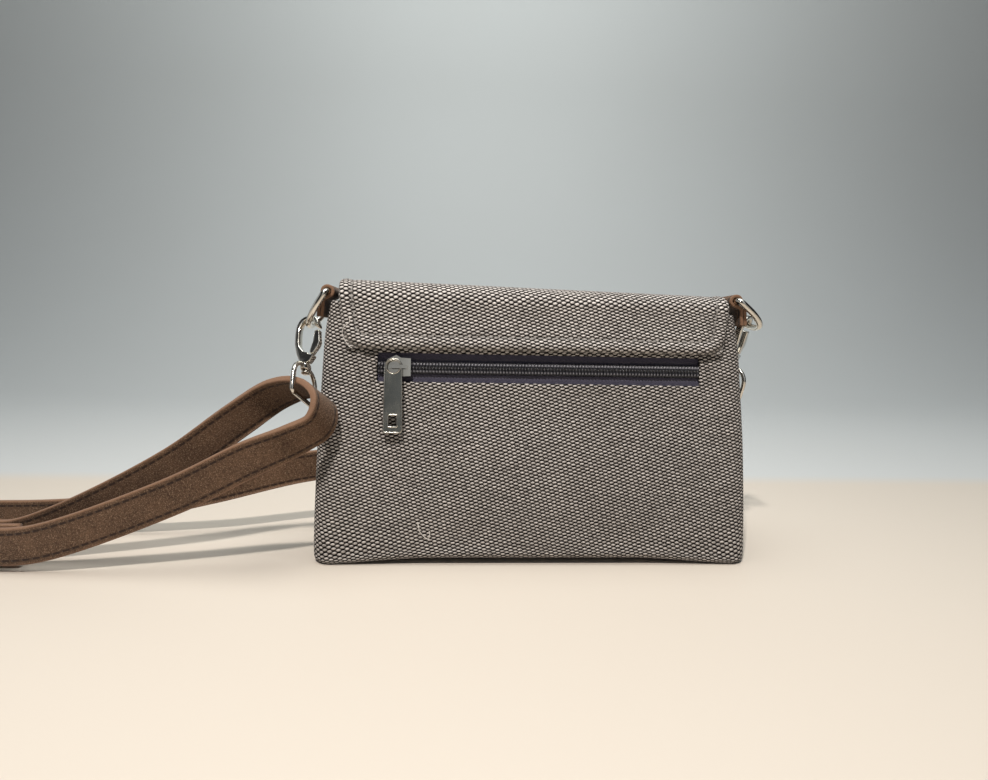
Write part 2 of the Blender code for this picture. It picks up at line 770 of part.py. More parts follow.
def swivel_outline():
    """The ring's wire: through the boss at the top, wide enough below for the strap."""
    half = STRAP_WIDTH / 2 + SWIVEL_WIRE_RADIUS + 3 * CLEARANCE
    top = -BOSS_HEIGHT / 2
    low = top - SWIVEL_RING_DROP
    corner, shoulder = SWIVEL_CORNER, 0.45 * SWIVEL_RING_DROP
    points = arc((half - corner, low + corner), corner, 0, -90, 4)
    points += arc((-half + corner, low + corner), corner, -90, -180, 4)
    points += arc((-half + shoulder, top - shoulder), shoulder, 180, 90, 5)
    points += arc((half - shoulder, top - shoulder), shoulder, 90, 0, 5)
    return points


def make_swivel_ring(side, name, mat, parts, tools):
    """The ring that the strap goes through, with a boss at the top for the hook's pin."""
    frame = swivel_frame(side)
    o = wire(name, [(x, y, 0) for x, y in swivel_outline()], SWIVEL_WIRE_RADIUS, mat, parts)
    o.matrix_world = frame
    boss = box(name + "_boss", (BOSS_WIDTH, BOSS_HEIGHT, BOSS_THICKNESS), (0, 0, 0), None, tools)
    boss.matrix_world = frame @ Matrix.Translation((0, -BOSS_HEIGHT / 2, 0))
    upright = Matrix.Rotation(radians(90), 4, "X")
    bore = cylinder(name + "_bore", PIN_RADIUS + CLEARANCE, 3 * BOSS_HEIGHT,
                    frame @ Matrix.Translation((0, -BOSS_HEIGHT / 2, 0)) @ upright, None, tools, 16)
    room = box(name + "_room", (BOSS_WIDTH, SWIVEL_RING_DROP / 2, 2 * BOSS_THICKNESS),
               (0, 0, 0), None, tools)
    room.matrix_world = frame @ Matrix.Translation((0, -BOSS_HEIGHT - SWIVEL_RING_DROP / 4, 0))
    boolean(o, boss, "UNION")
    boolean(o, bore, "DIFFERENCE")
    boolean(o, room, "DIFFERENCE")
    smooth(o, 50)


def ring_bar(side):
    """The middle of a swivel ring's lower bar."""
    low = -BOSS_HEIGHT / 2 - SWIVEL_RING_DROP
    return swivel_frame(side) @ Vector((0, low, 0))


def slide_place():
    """The middle of the strap's slide, standing on the shelf away to the left."""
    edge = STRAP_WIDTH / 2 + SLIDE_RAIL + 2 * CLEARANCE
    return Vector((-BAG_WIDTH / 2 - 0.1600, -0.0200, edge))


def strap_stations():
    """The strap's middle line as chosen points with the way its width runs at each."""
    slide = slide_place()
    low = STRAP_WIDTH / 2 + CLEARANCE
    corner = 0.71 * SLIDE_BAR
    flat = corner + 1.4 * CLEARANCE + STRAP_THICKNESS / 2
    behind = BAG_DEPTH / 2 + FLAP_THICKNESS + SNAP_THICKNESS + 4 * CLEARANCE + STRAP_THICKNESS
    bar = slide.x + SLIDE_PITCH
    side = BAG_WIDTH / 2
    upright = (0.0, 0.0, -1.0)
    wire_turn = SWIVEL_WIRE_RADIUS + 2 * CLEARANCE + STRAP_THICKNESS / 2
    left_frame, right_frame = swivel_frame(-1), swivel_frame(1)
    left, right = ring_bar(-1), ring_bar(1)
    left_across = tuple(left_frame.col[0].xyz)
    right_across = tuple(right_frame.col[0].xyz)

    def by_right(u, v):
        """A point beside the right ring's lower bar: down from it, and out of the ring's face."""
        return tuple(right - right_frame.col[1].xyz * u + right_frame.col[2].xyz * v)

    rows = [
        # fold round the slide's right bar
        ((bar + 0.0180, slide.y - 0.0024, slide.z), upright),
        ((bar + 0.0080, slide.y - 0.0026, slide.z), upright),
        *[((x, y, slide.z), upright) for x, y in arc((bar, slide.y), flat, 270, 90, 4)],
        ((bar + 0.0100, slide.y + 0.0034, slide.z), upright),
        # far run up to the left clasp
        ((bar + 0.0330, slide.y + 0.0045, slide.z + 0.0080), (0.10, 0.10, -0.98)),
        ((left.x - 0.0610, left.y + 0.0070, left.z - 0.0315), (0.36, 0.16, -0.92)),
        ((left.x - 0.0330, left.y + 0.0080, left.z - 0.0110), (0.34, 0.36, -0.87)),
        ((left.x - 0.0130, left.y + 0.0060, left.z + 0.0020), (0.34, 0.62, -0.72)),
        ((left.x + 0.0010, left.y + 0.0020, left.z + 0.0050), left_across),
        # bend inside the ring
        ((left.x + 0.0100, left.y - 0.0034, left.z - 0.0010), (0.34, 0.78, -0.50)),
        ((left.x + 0.0090, left.y - 0.0064, left.z - 0.0100), (0.38, 0.72, -0.55)),
        # near run back to the slide
        ((left.x - 0.0020, left.y - 0.0066, left.z - 0.0170), (0.42, 0.55, -0.72)),
        ((left.x - 0.0220, left.y - 0.0068, left.z - 0.0260), (0.44, 0.26, -0.86)),
        ((left.x - 0.0550, left.y - 0.0070, left.z - 0.0425), (0.40, 0.20, -0.90)),
        ((bar + 0.0300, slide.y - 0.0085, slide.z + 0.0020), (0.10, 0.05, -0.99)),
        ((bar + 0.0080, slide.y - 0.0074, slide.z), upright),
        ((bar - 0.0010, slide.y - 0.0070, slide.z), upright),
        # through the slide
        ((slide.x + 0.0065, slide.y - 0.0024, slide.z), upright),
        ((slide.x + 0.0022, slide.y + 0.0024, slide.z), upright),
        ((slide.x - 0.0022, slide.y + 0.0028, slide.z), upright),
        ((slide.x - 0.0078, slide.y + 0.0001, slide.z), upright),
        ((slide.x - 0.0125, slide.y - 0.0026, slide.z), upright),
        ((slide.x - SLIDE_PITCH - 0.0010, slide.y - flat, slide.z), upright),
        ((slide.x - SLIDE_PITCH - 0.0120, slide.y - flat, slide.z - 0.0010), upright),
        # wide turn on the shelf
        ((slide.x - 0.0600, slide.y - 0.0020, low), upright),
        ((slide.x - 0.0830, slide.y + 0.0080, low), upright),
        ((slide.x - 0.0880, slide.y + 0.0270, low), upright),
        ((slide.x - 0.0700, slide.y + 0.0410, low), upright),
        # back past the bag's side and behind the flap
        ((slide.x - 0.0200, slide.y + 0.0390, low), upright),
        ((slide.x + 0.0350, slide.y + 0.0370, low + 0.0030), (0.04, 0.00, -1.0)),
        ((-side - 0.0640, 0.0180, low + 0.0160), (0.16, 0.04, -0.98)),
        ((-side - 0.0120, behind - 0.0010, low + 0.0260), (0.16, 0.06, -0.98)),
        ((-side * 0.60, behind + 0.0050, low + 0.0270), (0.08, 0.04, -1.0)),
        ((0.0, behind + 0.0080, low + 0.0200), upright),
        ((side * 0.40, behind + 0.0085, low + 0.0240), (0.12, 0.02, -0.99)),
        ((side * 0.70, behind + 0.0080, low + 0.0320), (0.35, 0.12, -0.93)),
        ((side * 0.93, behind + 0.0030, low + 0.0430), (0.20, 0.65, -0.70)),
        (by_right(0.0160, 0.0032), right_across),
        # fold round the right ring's bar and the sewn end
        (by_right(0.0060, 0.0028), right_across),
        *[(by_right(u, v), right_across) for u, v in arc((0, 0), wire_turn, 90, 270, 4)],
        (by_right(0.0060, -0.0016), right_across),
        (by_right(FOLD_TAIL, -0.0012), right_across),
    ]
    return rows


def smooth_line(points, step):
    """A smooth line through points, by centripetal Catmull-Rom, with its parameter at each sample."""
    p = np.array(points, float)
    p = np.vstack([2 * p[0] - p[1], p, 2 * p[-1] - p[-2]])
    line, where = [], []
    for i in range(1, len(p) - 2):
        a, b, c, d = p[i - 1 : i + 3]
        t = np.cumsum([0.0] + [np.linalg.norm(v) ** 0.5 for v in (b - a, c - b, d - c)])
        bend = np.linalg.norm((b - a) / np.linalg.norm(b - a) - (d - c) / np.linalg.norm(d - c))
        fine = step / (1 + 1.6 * bend)
        count = max(1, int(round(np.linalg.norm(c - b) / fine)))
        for k in range(count):
            s = t[1] + (t[2] - t[1]) * k / count
            a1 = ((t[1] - s) * a + (s - t[0]) * b) / (t[1] - t[0])
            a2 = ((t[2] - s) * b + (s - t[1]) * c) / (t[2] - t[1])
            a3 = ((t[3] - s) * c + (s - t[2]) * d) / (t[3] - t[2])
            b1 = ((t[2] - s) * a1 + (s - t[0]) * a2) / (t[2] - t[0])
            b2 = ((t[3] - s) * a2 + (s - t[1]) * a3) / (t[3] - t[1])
            line.append(((t[2] - s) * b1 + (s - t[1]) * b2) / (t[2] - t[1]))
            where.append(i - 1 + k / count)
    line.append(p[-2])
    where.append(len(points) - 1.0)
    return np.array(line), np.array(where)


def ribbon(rows, width, thickness, step):
    """Points and faces of a flat band along a line, its width as each row says."""
    line, where = smooth_line([r[0] for r in rows], step)
    ways = np.array([r[1] for r in rows], float)
    index = np.arange(len(rows))
    way = np.stack([np.interp(where, index, ways[:, k]) for k in range(3)], axis=1)
    along = np.gradient(line, axis=0)
    along /= np.linalg.norm(along, axis=1)[:, None]
    way -= along * (way * along).sum(1)[:, None]
    way /= np.linalg.norm(way, axis=1)[:, None]
    normal = np.cross(along, way)
    corners = ((-1, -1), (1, -1), (1, 1), (-1, 1))
    points = []
    for p, w, n in zip(line, way, normal):
        for a, b in corners:
            points.append(p + w * a * width / 2 + n * b * thickness / 2)
    faces = [(3, 2, 1, 0)]
    for i in range(len(line) - 1):
        for k in range(4):
            m = (k + 1) % 4
            faces.append((i * 4 + k, i * 4 + m, i * 4 + 4 + m, i * 4 + 4 + k))
    last = 4 * (len(line) - 1)
    faces.append((last, last + 1, last + 2, last + 3))
    return points, faces


def make_strap(mat, parts):
    """The strap: one doubled leather band, folded round the slide and both clasps' rings."""
    points, faces = ribbon(strap_stations(), STRAP_WIDTH, STRAP_THICKNESS, STRAP_STEP)
    o = mesh_object("strap", points, faces, mat, parts)
    smooth(o)


def make_slide(mat, parts):
    """The strap's slide: a flat frame with three upright bars."""
    reach = SLIDE_PITCH + SLIDE_BAR / 2
    inner = STRAP_WIDTH / 2 + 2 * CLEARANCE
    outer = inner + SLIDE_RAIL
    half = SLIDE_BAR / 2
    outline = [(-reach, -outer), (reach, -outer), (reach, outer), (-reach, outer)]
    first = [(-reach + 2 * half, -inner), (-half, -inner), (-half, inner), (-reach + 2 * half, inner)]
    second = [(half, -inner), (reach - 2 * half, -inner), (reach - 2 * half, inner), (half, inner)]
    o = plate("strap_slide", [outline, first, second], SLIDE_BAR, mat, parts)
    o.matrix_world = Matrix.Translation(slide_place()) @ Matrix.Rotation(radians(90), 4, "X")


def main():
    """Builds the bag, piece by piece."""
    clear_scene()
    parts = new_collection("clutch_bag")
    tools = new_collection("cutters")
    canvas = material("canvas", (0.30, 0.28, 0.26), 0.95)
    leather = material("leather", (0.13, 0.075, 0.048), 0.75)
    tape = material("zip_tape", (0.035, 0.033, 0.060), 0.9)
    coil = material("zip_coil", (0.012, 0.012, 0.018), 0.4)
    nickel = material("nickel", (0.70, 0.67, 0.62), 0.18, 1.0)
    satin = material("satin_nickel", (0.48, 0.47, 0.44), 0.35, 1.0)
    make_pouch(canvas, parts, tools)
    make_flap(canvas, parts)
    make_snap(satin, parts)
    make_zip(tape, coil, parts)
    make_slider(satin, parts, tools)
    make_pull(satin, parts)
    for side, name in ((-1, "left"), (1, "right")):
        make_tab(side, name + "_tab", leather, parts)
        make_d_ring(side, name + "_d_ring", nickel, parts)
        make_hook(side, name + "_hook", nickel, parts, tools)
        make_gate(side, name + "_gate", nickel, parts)
        make_swivel_ring(side, name + "_swivel_ring", nickel, parts, tools)
    make_strap(leather, parts)
    make_slide(nickel, parts)


main()
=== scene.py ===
from math import cos, pi, radians, sin

import bpy
import numpy as np
from mathutils import Matrix, Vector


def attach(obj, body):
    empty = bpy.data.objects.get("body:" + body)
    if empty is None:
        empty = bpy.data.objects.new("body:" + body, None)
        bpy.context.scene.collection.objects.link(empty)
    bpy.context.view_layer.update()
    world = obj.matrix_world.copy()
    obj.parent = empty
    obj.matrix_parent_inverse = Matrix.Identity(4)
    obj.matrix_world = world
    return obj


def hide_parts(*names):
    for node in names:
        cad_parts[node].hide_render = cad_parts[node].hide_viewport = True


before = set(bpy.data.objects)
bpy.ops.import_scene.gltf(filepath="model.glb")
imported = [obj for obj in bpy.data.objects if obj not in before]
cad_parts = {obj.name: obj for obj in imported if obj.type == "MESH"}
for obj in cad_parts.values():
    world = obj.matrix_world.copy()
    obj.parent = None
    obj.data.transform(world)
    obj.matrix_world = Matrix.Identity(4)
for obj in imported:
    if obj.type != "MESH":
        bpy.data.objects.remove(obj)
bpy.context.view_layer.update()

# Camera and studio. The camera stands 25 cm from the bag's back, a little to its left, and looks
# slightly down. A pale floor rises behind the bag into a grey-green wall, and a warm lamp above
# the camera's left shoulder gives the short shadows under the flap, pull and strap.


def look(yaw, pitch, roll):
    """Right, up and backward axes of a camera turned right by yaw, down by pitch, rolled by roll."""
    forward = Vector((sin(yaw) * cos(pitch), cos(yaw) * cos(pitch), -sin(pitch)))
    level = Vector((cos(yaw), -sin(yaw), 0.0))
    upward = level.cross(forward)
    right = level * cos(roll) + upward * sin(roll)
    return Matrix((right, upward * cos(roll) - level * sin(roll), -forward)).transposed().to_4x4()


camera_data = bpy.data.cameras.new("camera")
camera_data.sensor_width = 36.0
camera_data.lens = 18.26
camera_data.shift_x = 0.0025
camera_data.shift_y = 0.0071
camera_data.clip_start = 0.01
camera = bpy.data.objects.new("camera", camera_data)
bpy.context.scene.collection.objects.link(camera)
camera.matrix_world = Matrix.Translation((-0.0308, -0.2478, 0.1039)) @ look(
    radians(2.44), radians(6.08), radians(0.98))
bpy.context.scene.camera = camera
bpy.context.scene.view_settings.view_transform = "Standard"


class Paint:
    """A value in a material's node tree, on which plain arithmetic adds Math nodes."""

    def __init__(self, tree, socket=None):
        self.tree = tree
        self.socket = socket

    def node(self, kind, settings=None, sockets=None, out=0):
        """Any node: its settings are set first, then the values or links of its sockets."""
        n = self.tree.nodes.new(kind)
        for name, value in (settings or {}).items():
            if name == "stops":
                ramp = n.color_ramp
                while len(ramp.elements) < len(value):
                    ramp.elements.new(0.5)
                for element, (at, colour) in zip(ramp.elements, value):
                    element.position = at
                    element.color = (*colour, 1.0)
            else:
                setattr(n, name, value)
        for key, value in (sockets or {}).items():
            if isinstance(value, Paint):
                self.tree.links.new(value.socket, n.inputs[key])
            else:
                n.inputs[key].default_value = value
        return Paint(self.tree, n.outputs[out])

    def math(self, operation, *others):
        """One Math node, this value first."""
        return self.node("ShaderNodeMath", {"operation": operation},
                         {i: v for i, v in enumerate((self, *others))})

    def __add__(self, other):
        return self.math("ADD", other)

    __radd__ = __add__

    def __sub__(self, other):
        return self.math("SUBTRACT", other)

    def __rsub__(self, other):
        return self.node("ShaderNodeMath", {"operation": "SUBTRACT"}, {0: other, 1: self})

    def __mul__(self, other):
        return self.math("MULTIPLY", other)

    __rmul__ = __mul__

    def __truediv__(self, other):
        return self.math("DIVIDE", other)

    def off(self, line=0.0):
        """How far this value is from a line."""
        return (self - line if line else self).math("ABSOLUTE")

    def beat(self, step):
        """How far this value is from the middle of its step: 0 to 0.5."""
        return (self / step).math("FRACT").off(0.5)

    def ease(self, low, high):
        """0 below low, 1 above high, smooth between; falling where low is the greater."""
        return self.node("ShaderNodeMapRange", {"interpolation_type": "SMOOTHSTEP"},
                         {0: self, 1: min(low, high), 2: max(low, high),
                          3: 0.0 if low < high else 1.0, 4: 1.0 if low < high else 0.0})

    def mix(self, a, b):
        """Colour a where this value is 0, colour b where it is 1."""
        a, b = ((*c, 1.0) if isinstance(c, tuple) else c for c in (a, b))
        return self.node("ShaderNodeMix", {"data_type": "RGBA"}, {0: self, 6: a, 7: b}, 2)

    def tint(self, colour, amount=1.0):
        """This colour multiplied by another one."""
        colour = (*colour, 1.0) if isinstance(colour, tuple) else colour
        return self.node("ShaderNodeMix", {"data_type": "RGBA", "blend_type": "MULTIPLY"},
                         {0: amount, 6: self, 7: colour}, 2)

    def noise(self, scale, detail=2.0, stretch=(1.0, 1.0, 1.0), rough=0.5):
        """Noise from 0 to 1 over this vector, stretched along its axes."""
        place = self.node("ShaderNodeMapping", {}, {"Vector": self, "Scale": stretch})
        return self.node("ShaderNodeTexNoise", {}, {"Vector": place, "Scale": scale,
                                                    "Detail": detail, "Roughness": rough})

    def measure(self, name="cloth"):
        """The piece's own measure over its surface, a UV map in metres."""
        return self.node("ShaderNodeUVMap", {"uv_map": name})

    def place(self):
        """The place on the piece: Object coordinates."""
        return self.node("ShaderNodeTexCoord", out=3)

    def part(self, axis):
        """One part of this vector: 0 is x, 1 is y and 2 is z."""
        return self.node("ShaderNodeSeparateXYZ", {}, {0: self}, axis)

    def bump(self, distance, strength):
        """A normal roughened by this height, in metres."""
        return self.node("ShaderNodeBump", {}, {"Height": self, "Distance": distance,
                                                "Strength": strength})


def new_material(name, **fixed):
    """A material and its Principled shader, with the sockets that are the same all over."""
    m = bpy.data.materials.new(name)
    m.use_nodes = True
    shader = m.node_tree.nodes["Principled BSDF"]
    for key, value in fixed.items():
        shader.inputs[key.replace("_", " ").title().replace("Ior", "IOR")].default_value = value
    return m, Paint(m.node_tree), shader


def finish_material(m, shader, **varying):
    """Joins what changes over the surface to the shader."""
    for key, value in varying.items():
        m.node_tree.links.new(value.socket, shader.inputs[key.replace("_", " ").title()])


floor_paint, p, shader = new_material("floor_paint", roughness=0.55)
spot = p.place()
far = spot.part(1).ease(0.115, 0.150)
cloudy = spot.noise(3.0, 2.0).ease(0.3, 0.7) * 0.2
floor_tone = far.mix((0.61, 0.545, 0.475), (0.56, 0.57, 0.57))
finish_material(floor_paint, shader, base_color=floor_tone.tint((0.97, 0.96, 0.95), cloudy))
floor_mesh = bpy.data.meshes.new("floor")
bend = np.radians(np.linspace(0, 90, 31))
floor_line = np.array([(-3.0, 0.0), *zip(0.6 + np.sin(bend), 1.0 - np.cos(bend)), (1.6, 3.0)])
floor_points = np.array([[(x, y, z) for x in (-3.0, 3.0)] for y, z in floor_line]).reshape(-1, 3)
floor_faces = [(2 * i, 2 * i + 1, 2 * i + 3, 2 * i + 2) for i in range(len(floor_line) - 1)]
floor_mesh.from_pydata(floor_points, [], floor_faces)
floor_mesh.shade_smooth()
floor_mesh.materials.append(floor_paint)
floor = bpy.data.objects.new("floor", floor_mesh)
bpy.context.scene.collection.objects.link(floor)

world = bpy.data.worlds.new("studio")
world.use_nodes = True
bpy.context.scene.world = world
sky = Paint(world.node_tree)
background = world.node_tree.nodes["Background"]
toward = sky.node("ShaderNodeTexCoord")
room = sky.node("ShaderNodeValToRGB", {"stops": [
    (0.0, (0.80, 0.72, 0.64)), (0.47, (0.40, 0.40, 0.39)), (0.56, (0.47, 0.49, 0.50)),
    (1.0, (0.62, 0.66, 0.70))]}, {0: toward.part(2) * 0.5 + 0.5})
world.node_tree.links.new(room.socket, background.inputs["Color"])
seen = sky.node("ShaderNodeLightPath")
shine = Paint(world.node_tree, seen.socket.node.outputs["Is Glossy Ray"])
streak = (toward.part(0) * 4.6 + 0.72).math("SINE").ease(-0.45, 0.35) * 0.92 - 0.24
world.node_tree.links.new((seen * 0.62 + shine * streak + 0.30).socket, background.inputs["Strength"])


def lamp(name, place, aim, size, power, colour):
    """A square soft lamp at a place, turned to a point."""
    data = bpy.data.lights.new(name, "AREA")
    data.size = size
    data.energy = power
    data.color = colour
    o = bpy.data.objects.new(name, data)
    turn = (Vector(aim) - Vector(place)).to_track_quat("-Z", "Y")
    o.matrix_world = Matrix.Translation(place) @ turn.to_matrix().to_4x4()
    bpy.context.scene.collection.objects.link(o)


lamp("key", (-0.13, -0.34, 0.62), (0.0, 0.0, 0.06), 0.035, 4.3, (1.0, 0.95, 0.89))
lamp("overhead", (0.10, -0.05, 0.90), (0.0, 0.0, 0.05), 0.30, 1.6, (1.0, 0.96, 0.90))
lamp("back_fill", (0.0, 0.2, 1.9), (0.0, 1.6, 0.9), 1.60, 27.0, (0.95, 1.0, 0.98))


# Pouch. The body is heavy canvas in a thick basket-like weave, grey-beige weft over dark
# warp, cut as two panels that meet in seams down both sides; the gaps between the floats are
# darkened further with painted shade. Its back has the opening of a zip pocket, turned in and
# stitched round, and its foot turns under with a softer curl in the middle.

BAG_WIDTH, BAG_DEPTH, BAG_HEIGHT = 0.2094, 0.0440, 0.1310
CANVAS = 0.0020
OPENING = (-0.0743, 0.0787, 0.0855, 0.0989)  # left, right, foot and top of the zip's opening
RIM_SHARE = 0.925
CORNER_RADIUS = 0.0090
FOOT_TOP = 0.0062
CORNER_CURL, MIDDLE_CURL, MIDDLE_LIFT = 0.0025, 0.0034, 0.0028
POUCH_SECTIONS = np.array([
    # height, width, depth
    (0.000, 0.996, 1.000), (0.060, 1.000, 0.985), (0.200, 0.996, 0.915), (0.450, 0.986, 0.775),
    (0.620, 0.973, 0.655), (0.800, 0.962, 0.510), (0.925, 0.940, 0.425), (1.000, 0.900, 0.370)])
PANEL_FORM = (
    # across, up, reach across, reach up, depth
    (0.05, 0.34, 0.75, 0.22, 0.0014), (-0.82, 0.40, 0.16, 0.20, -0.0011),
    (0.86, 0.44, 0.14, 0.24, -0.0009), (-0.35, 0.08, 0.22, 0.07, -0.0007),
    (0.40, 0.10, 0.26, 0.08, -0.0006))


def pouch_half(z, column):
    """Half the pouch's width (column 1) or depth (column 2) at heights z: the table's straight
    runs, averaged over 5 mm each way so that no crease shows."""
    size = (BAG_WIDTH if column == 1 else BAG_DEPTH) / 2
    near = [np.interp((z + d) / BAG_HEIGHT, POUCH_SECTIONS[:, 0], POUCH_SECTIONS[:, column])
            for d in np.linspace(-0.005, 0.005, 9)]
    return np.mean(near, axis=0) * size


def tilt(x, z):
    """How far the left side stands above the right: a slope in x that grows with height^8."""
    return -0.0031 * (2 * x / BAG_WIDTH) * np.clip(z / BAG_HEIGHT, 0.0, None) ** 8


def swelling(x, z):
    """Outward swell of a panel: a sum of soft hills and hollows, and faint ripples of the cloth,
    fading out at the foot and above six tenths of the height."""
    across, up = 2 * x / BAG_WIDTH, z / BAG_HEIGHT
    total = 0.0
    for a, u, reach_a, reach_u, depth in PANEL_FORM:
        total = total + depth * np.exp(-(((across - a) / reach_a) ** 2) - ((up - u) / reach_u) ** 2)
    total = total + 0.00022 * np.sin(61 * x + 1.3) * np.sin(47 * z + 40 * x + 0.4)
    total = total + 0.00014 * np.sin(143 * x - 70 * z) * np.sin(90 * z + 2.0)
    return total * np.clip((0.60 - up) / 0.15, 0, 1) * np.clip(up / 0.05, 0, 1)


def grid_mesh(name, points, wrap=False, uv=None, drop=None):
    """A mesh of a grid of points [row, column], joined round where it wraps.
    uv holds the cloth's own measure in metres for each face's four corners."""
    rows, columns = points.shape[:2]
    last = columns if wrap else columns - 1
    i, j = np.meshgrid(np.arange(rows - 1), np.arange(last), indexing="ij")
    here, k = i * columns, (j + 1) % columns
    quads = np.stack([here + j, here + k, here + columns + k, here + columns + j], axis=-1)
    keep = np.ones((rows - 1, last), bool) if drop is None else ~drop
    m = bpy.data.meshes.new(name)
    m.from_pydata(points.reshape(-1, 3), [], quads[keep].tolist())
    m.update()
    if uv is not None:
        layer = m.uv_layers.new(name="cloth")
        layer.data.foreach_set("uv", uv[keep].reshape(-1).astype(np.float32))
    m.shade_smooth()
    return m


def corner_uv(u, v):
    """The four corners' measures of each face from grids of u and v."""
    a = np.stack([u, v], axis=-1)
    return np.stack([a[:-1, :-1], a[:-1, 1:], a[1:, 1:], a[1:, :-1]], axis=2)


def show(name, mesh, material, body="bag", replaces=()):
    """A finished piece at the origin, on its body, standing for the CAD nodes it replaces."""
    o = bpy.data.objects.new(name, mesh)
    bpy.context.scene.collection.objects.link(o)
    if not mesh.materials:
        mesh.materials.append(material)
    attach(o, body)
    if replaces:
        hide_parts(*replaces)
    return o


def canvas_paint(uv):
    """The weave: floats of weft on a slanted brick lattice 2 mm by 1.6 mm. A float's height falls
    from its middle as an ellipse; its colour changes from float to float and along its fibres.
    The dark threads between the floats are partly painted shade, and the deepest gaps are painted
    near-black as shade."""
    across, up = uv.part(0), uv.part(1)
    drift = uv.noise(38.0, 1.0) - 0.5
    columns = (across * 1630.0 + up * 340.0) / 6.69 * 2.0 + drift * 0.8
    column = columns.math("FLOOR")
    odd = column.math("MODULO", 2.0).off()
    rows = (up * 4030.0 - across * 350.0) / 6.69 + odd * 0.5 + drift * 0.5
    row = rows.math("FLOOR")
    in_column = columns - column - 0.5
    in_row = rows - row - 0.5
    cell = uv.node("ShaderNodeCombineXYZ", {}, {0: column, 1: row, 2: 3.0})
    chance = uv.node("ShaderNodeTexWhiteNoise", {"noise_dimensions": "3D"}, {"Vector": cell})
    slub_place = uv.node("ShaderNodeCombineXYZ", {}, {0: column * 0.07, 1: row * 0.9})
    slub = slub_place.node("ShaderNodeTexNoise", {}, {"Vector": slub_place, "Scale": 1.0,
                                                      "Detail": 2.0})
    wide = 0.43 + slub * 0.12
    ellipse = (in_column * in_column) / 0.310 + (in_row * in_row) / (wide * wide * 0.46)
    rise = (1.0 - ellipse).math("MAXIMUM", 0.0).math("SQRT")
    fibre = uv.noise(2600.0, 3.0, (0.35, 1.6, 1.0), 0.65)
    melange = uv.noise(640.0, 2.0, (0.6, 1.5, 1.0))
    light = (0.58 + chance * 0.16 + (slub - 0.5) * 0.25 + (fibre - 0.5) * 0.9 + (melange - 0.5) * 0.6)
    thread = light.ease(0.10, 1.15).mix((0.170, 0.153, 0.144), (0.800, 0.750, 0.720))
    # Painted shade: the colour between the floats is partly dark thread and partly shade in the gaps, and
    # the slits between them are painted near-black as shade.
    painted_gap_shade = in_row.off().ease(0.28, 0.38) * in_column.off().ease(0.48, 0.30)
    warp_and_gap_shade = (fibre * 0.7 + melange * 0.5).ease(0.35, 0.9)
    warp_and_gap_shade = warp_and_gap_shade.mix((0.014, 0.012, 0.010), (0.150, 0.134, 0.124))
    warp_and_gap_shade = painted_gap_shade.mix(warp_and_gap_shade, (0.002, 0.0015, 0.0015))
    colour = rise.ease(0.25, 0.85).mix(warp_and_gap_shade, thread)
    patch = (uv.noise(22.0, 3.0) - 0.5) * 0.5 + 0.5
    colour = colour.tint(patch.ease(0.2, 0.8).mix((0.90, 0.89, 0.88), (1.04, 1.03, 1.02)))
    relief = rise + (fibre - 0.5) * 0.22 + chance * 0.12
    return colour, relief


canvas, p, shader = new_material("canvas_weave", roughness=0.94, specular_ior_level=0.08,
                                 sheen_weight=0.03, sheen_roughness=0.6)
cloth_uv = p.measure()
canvas_colour, canvas_relief = canvas_paint(cloth_uv)
finish_material(canvas, shader, base_color=canvas_colour, normal=canvas_relief.bump(0.0007, 0.9))


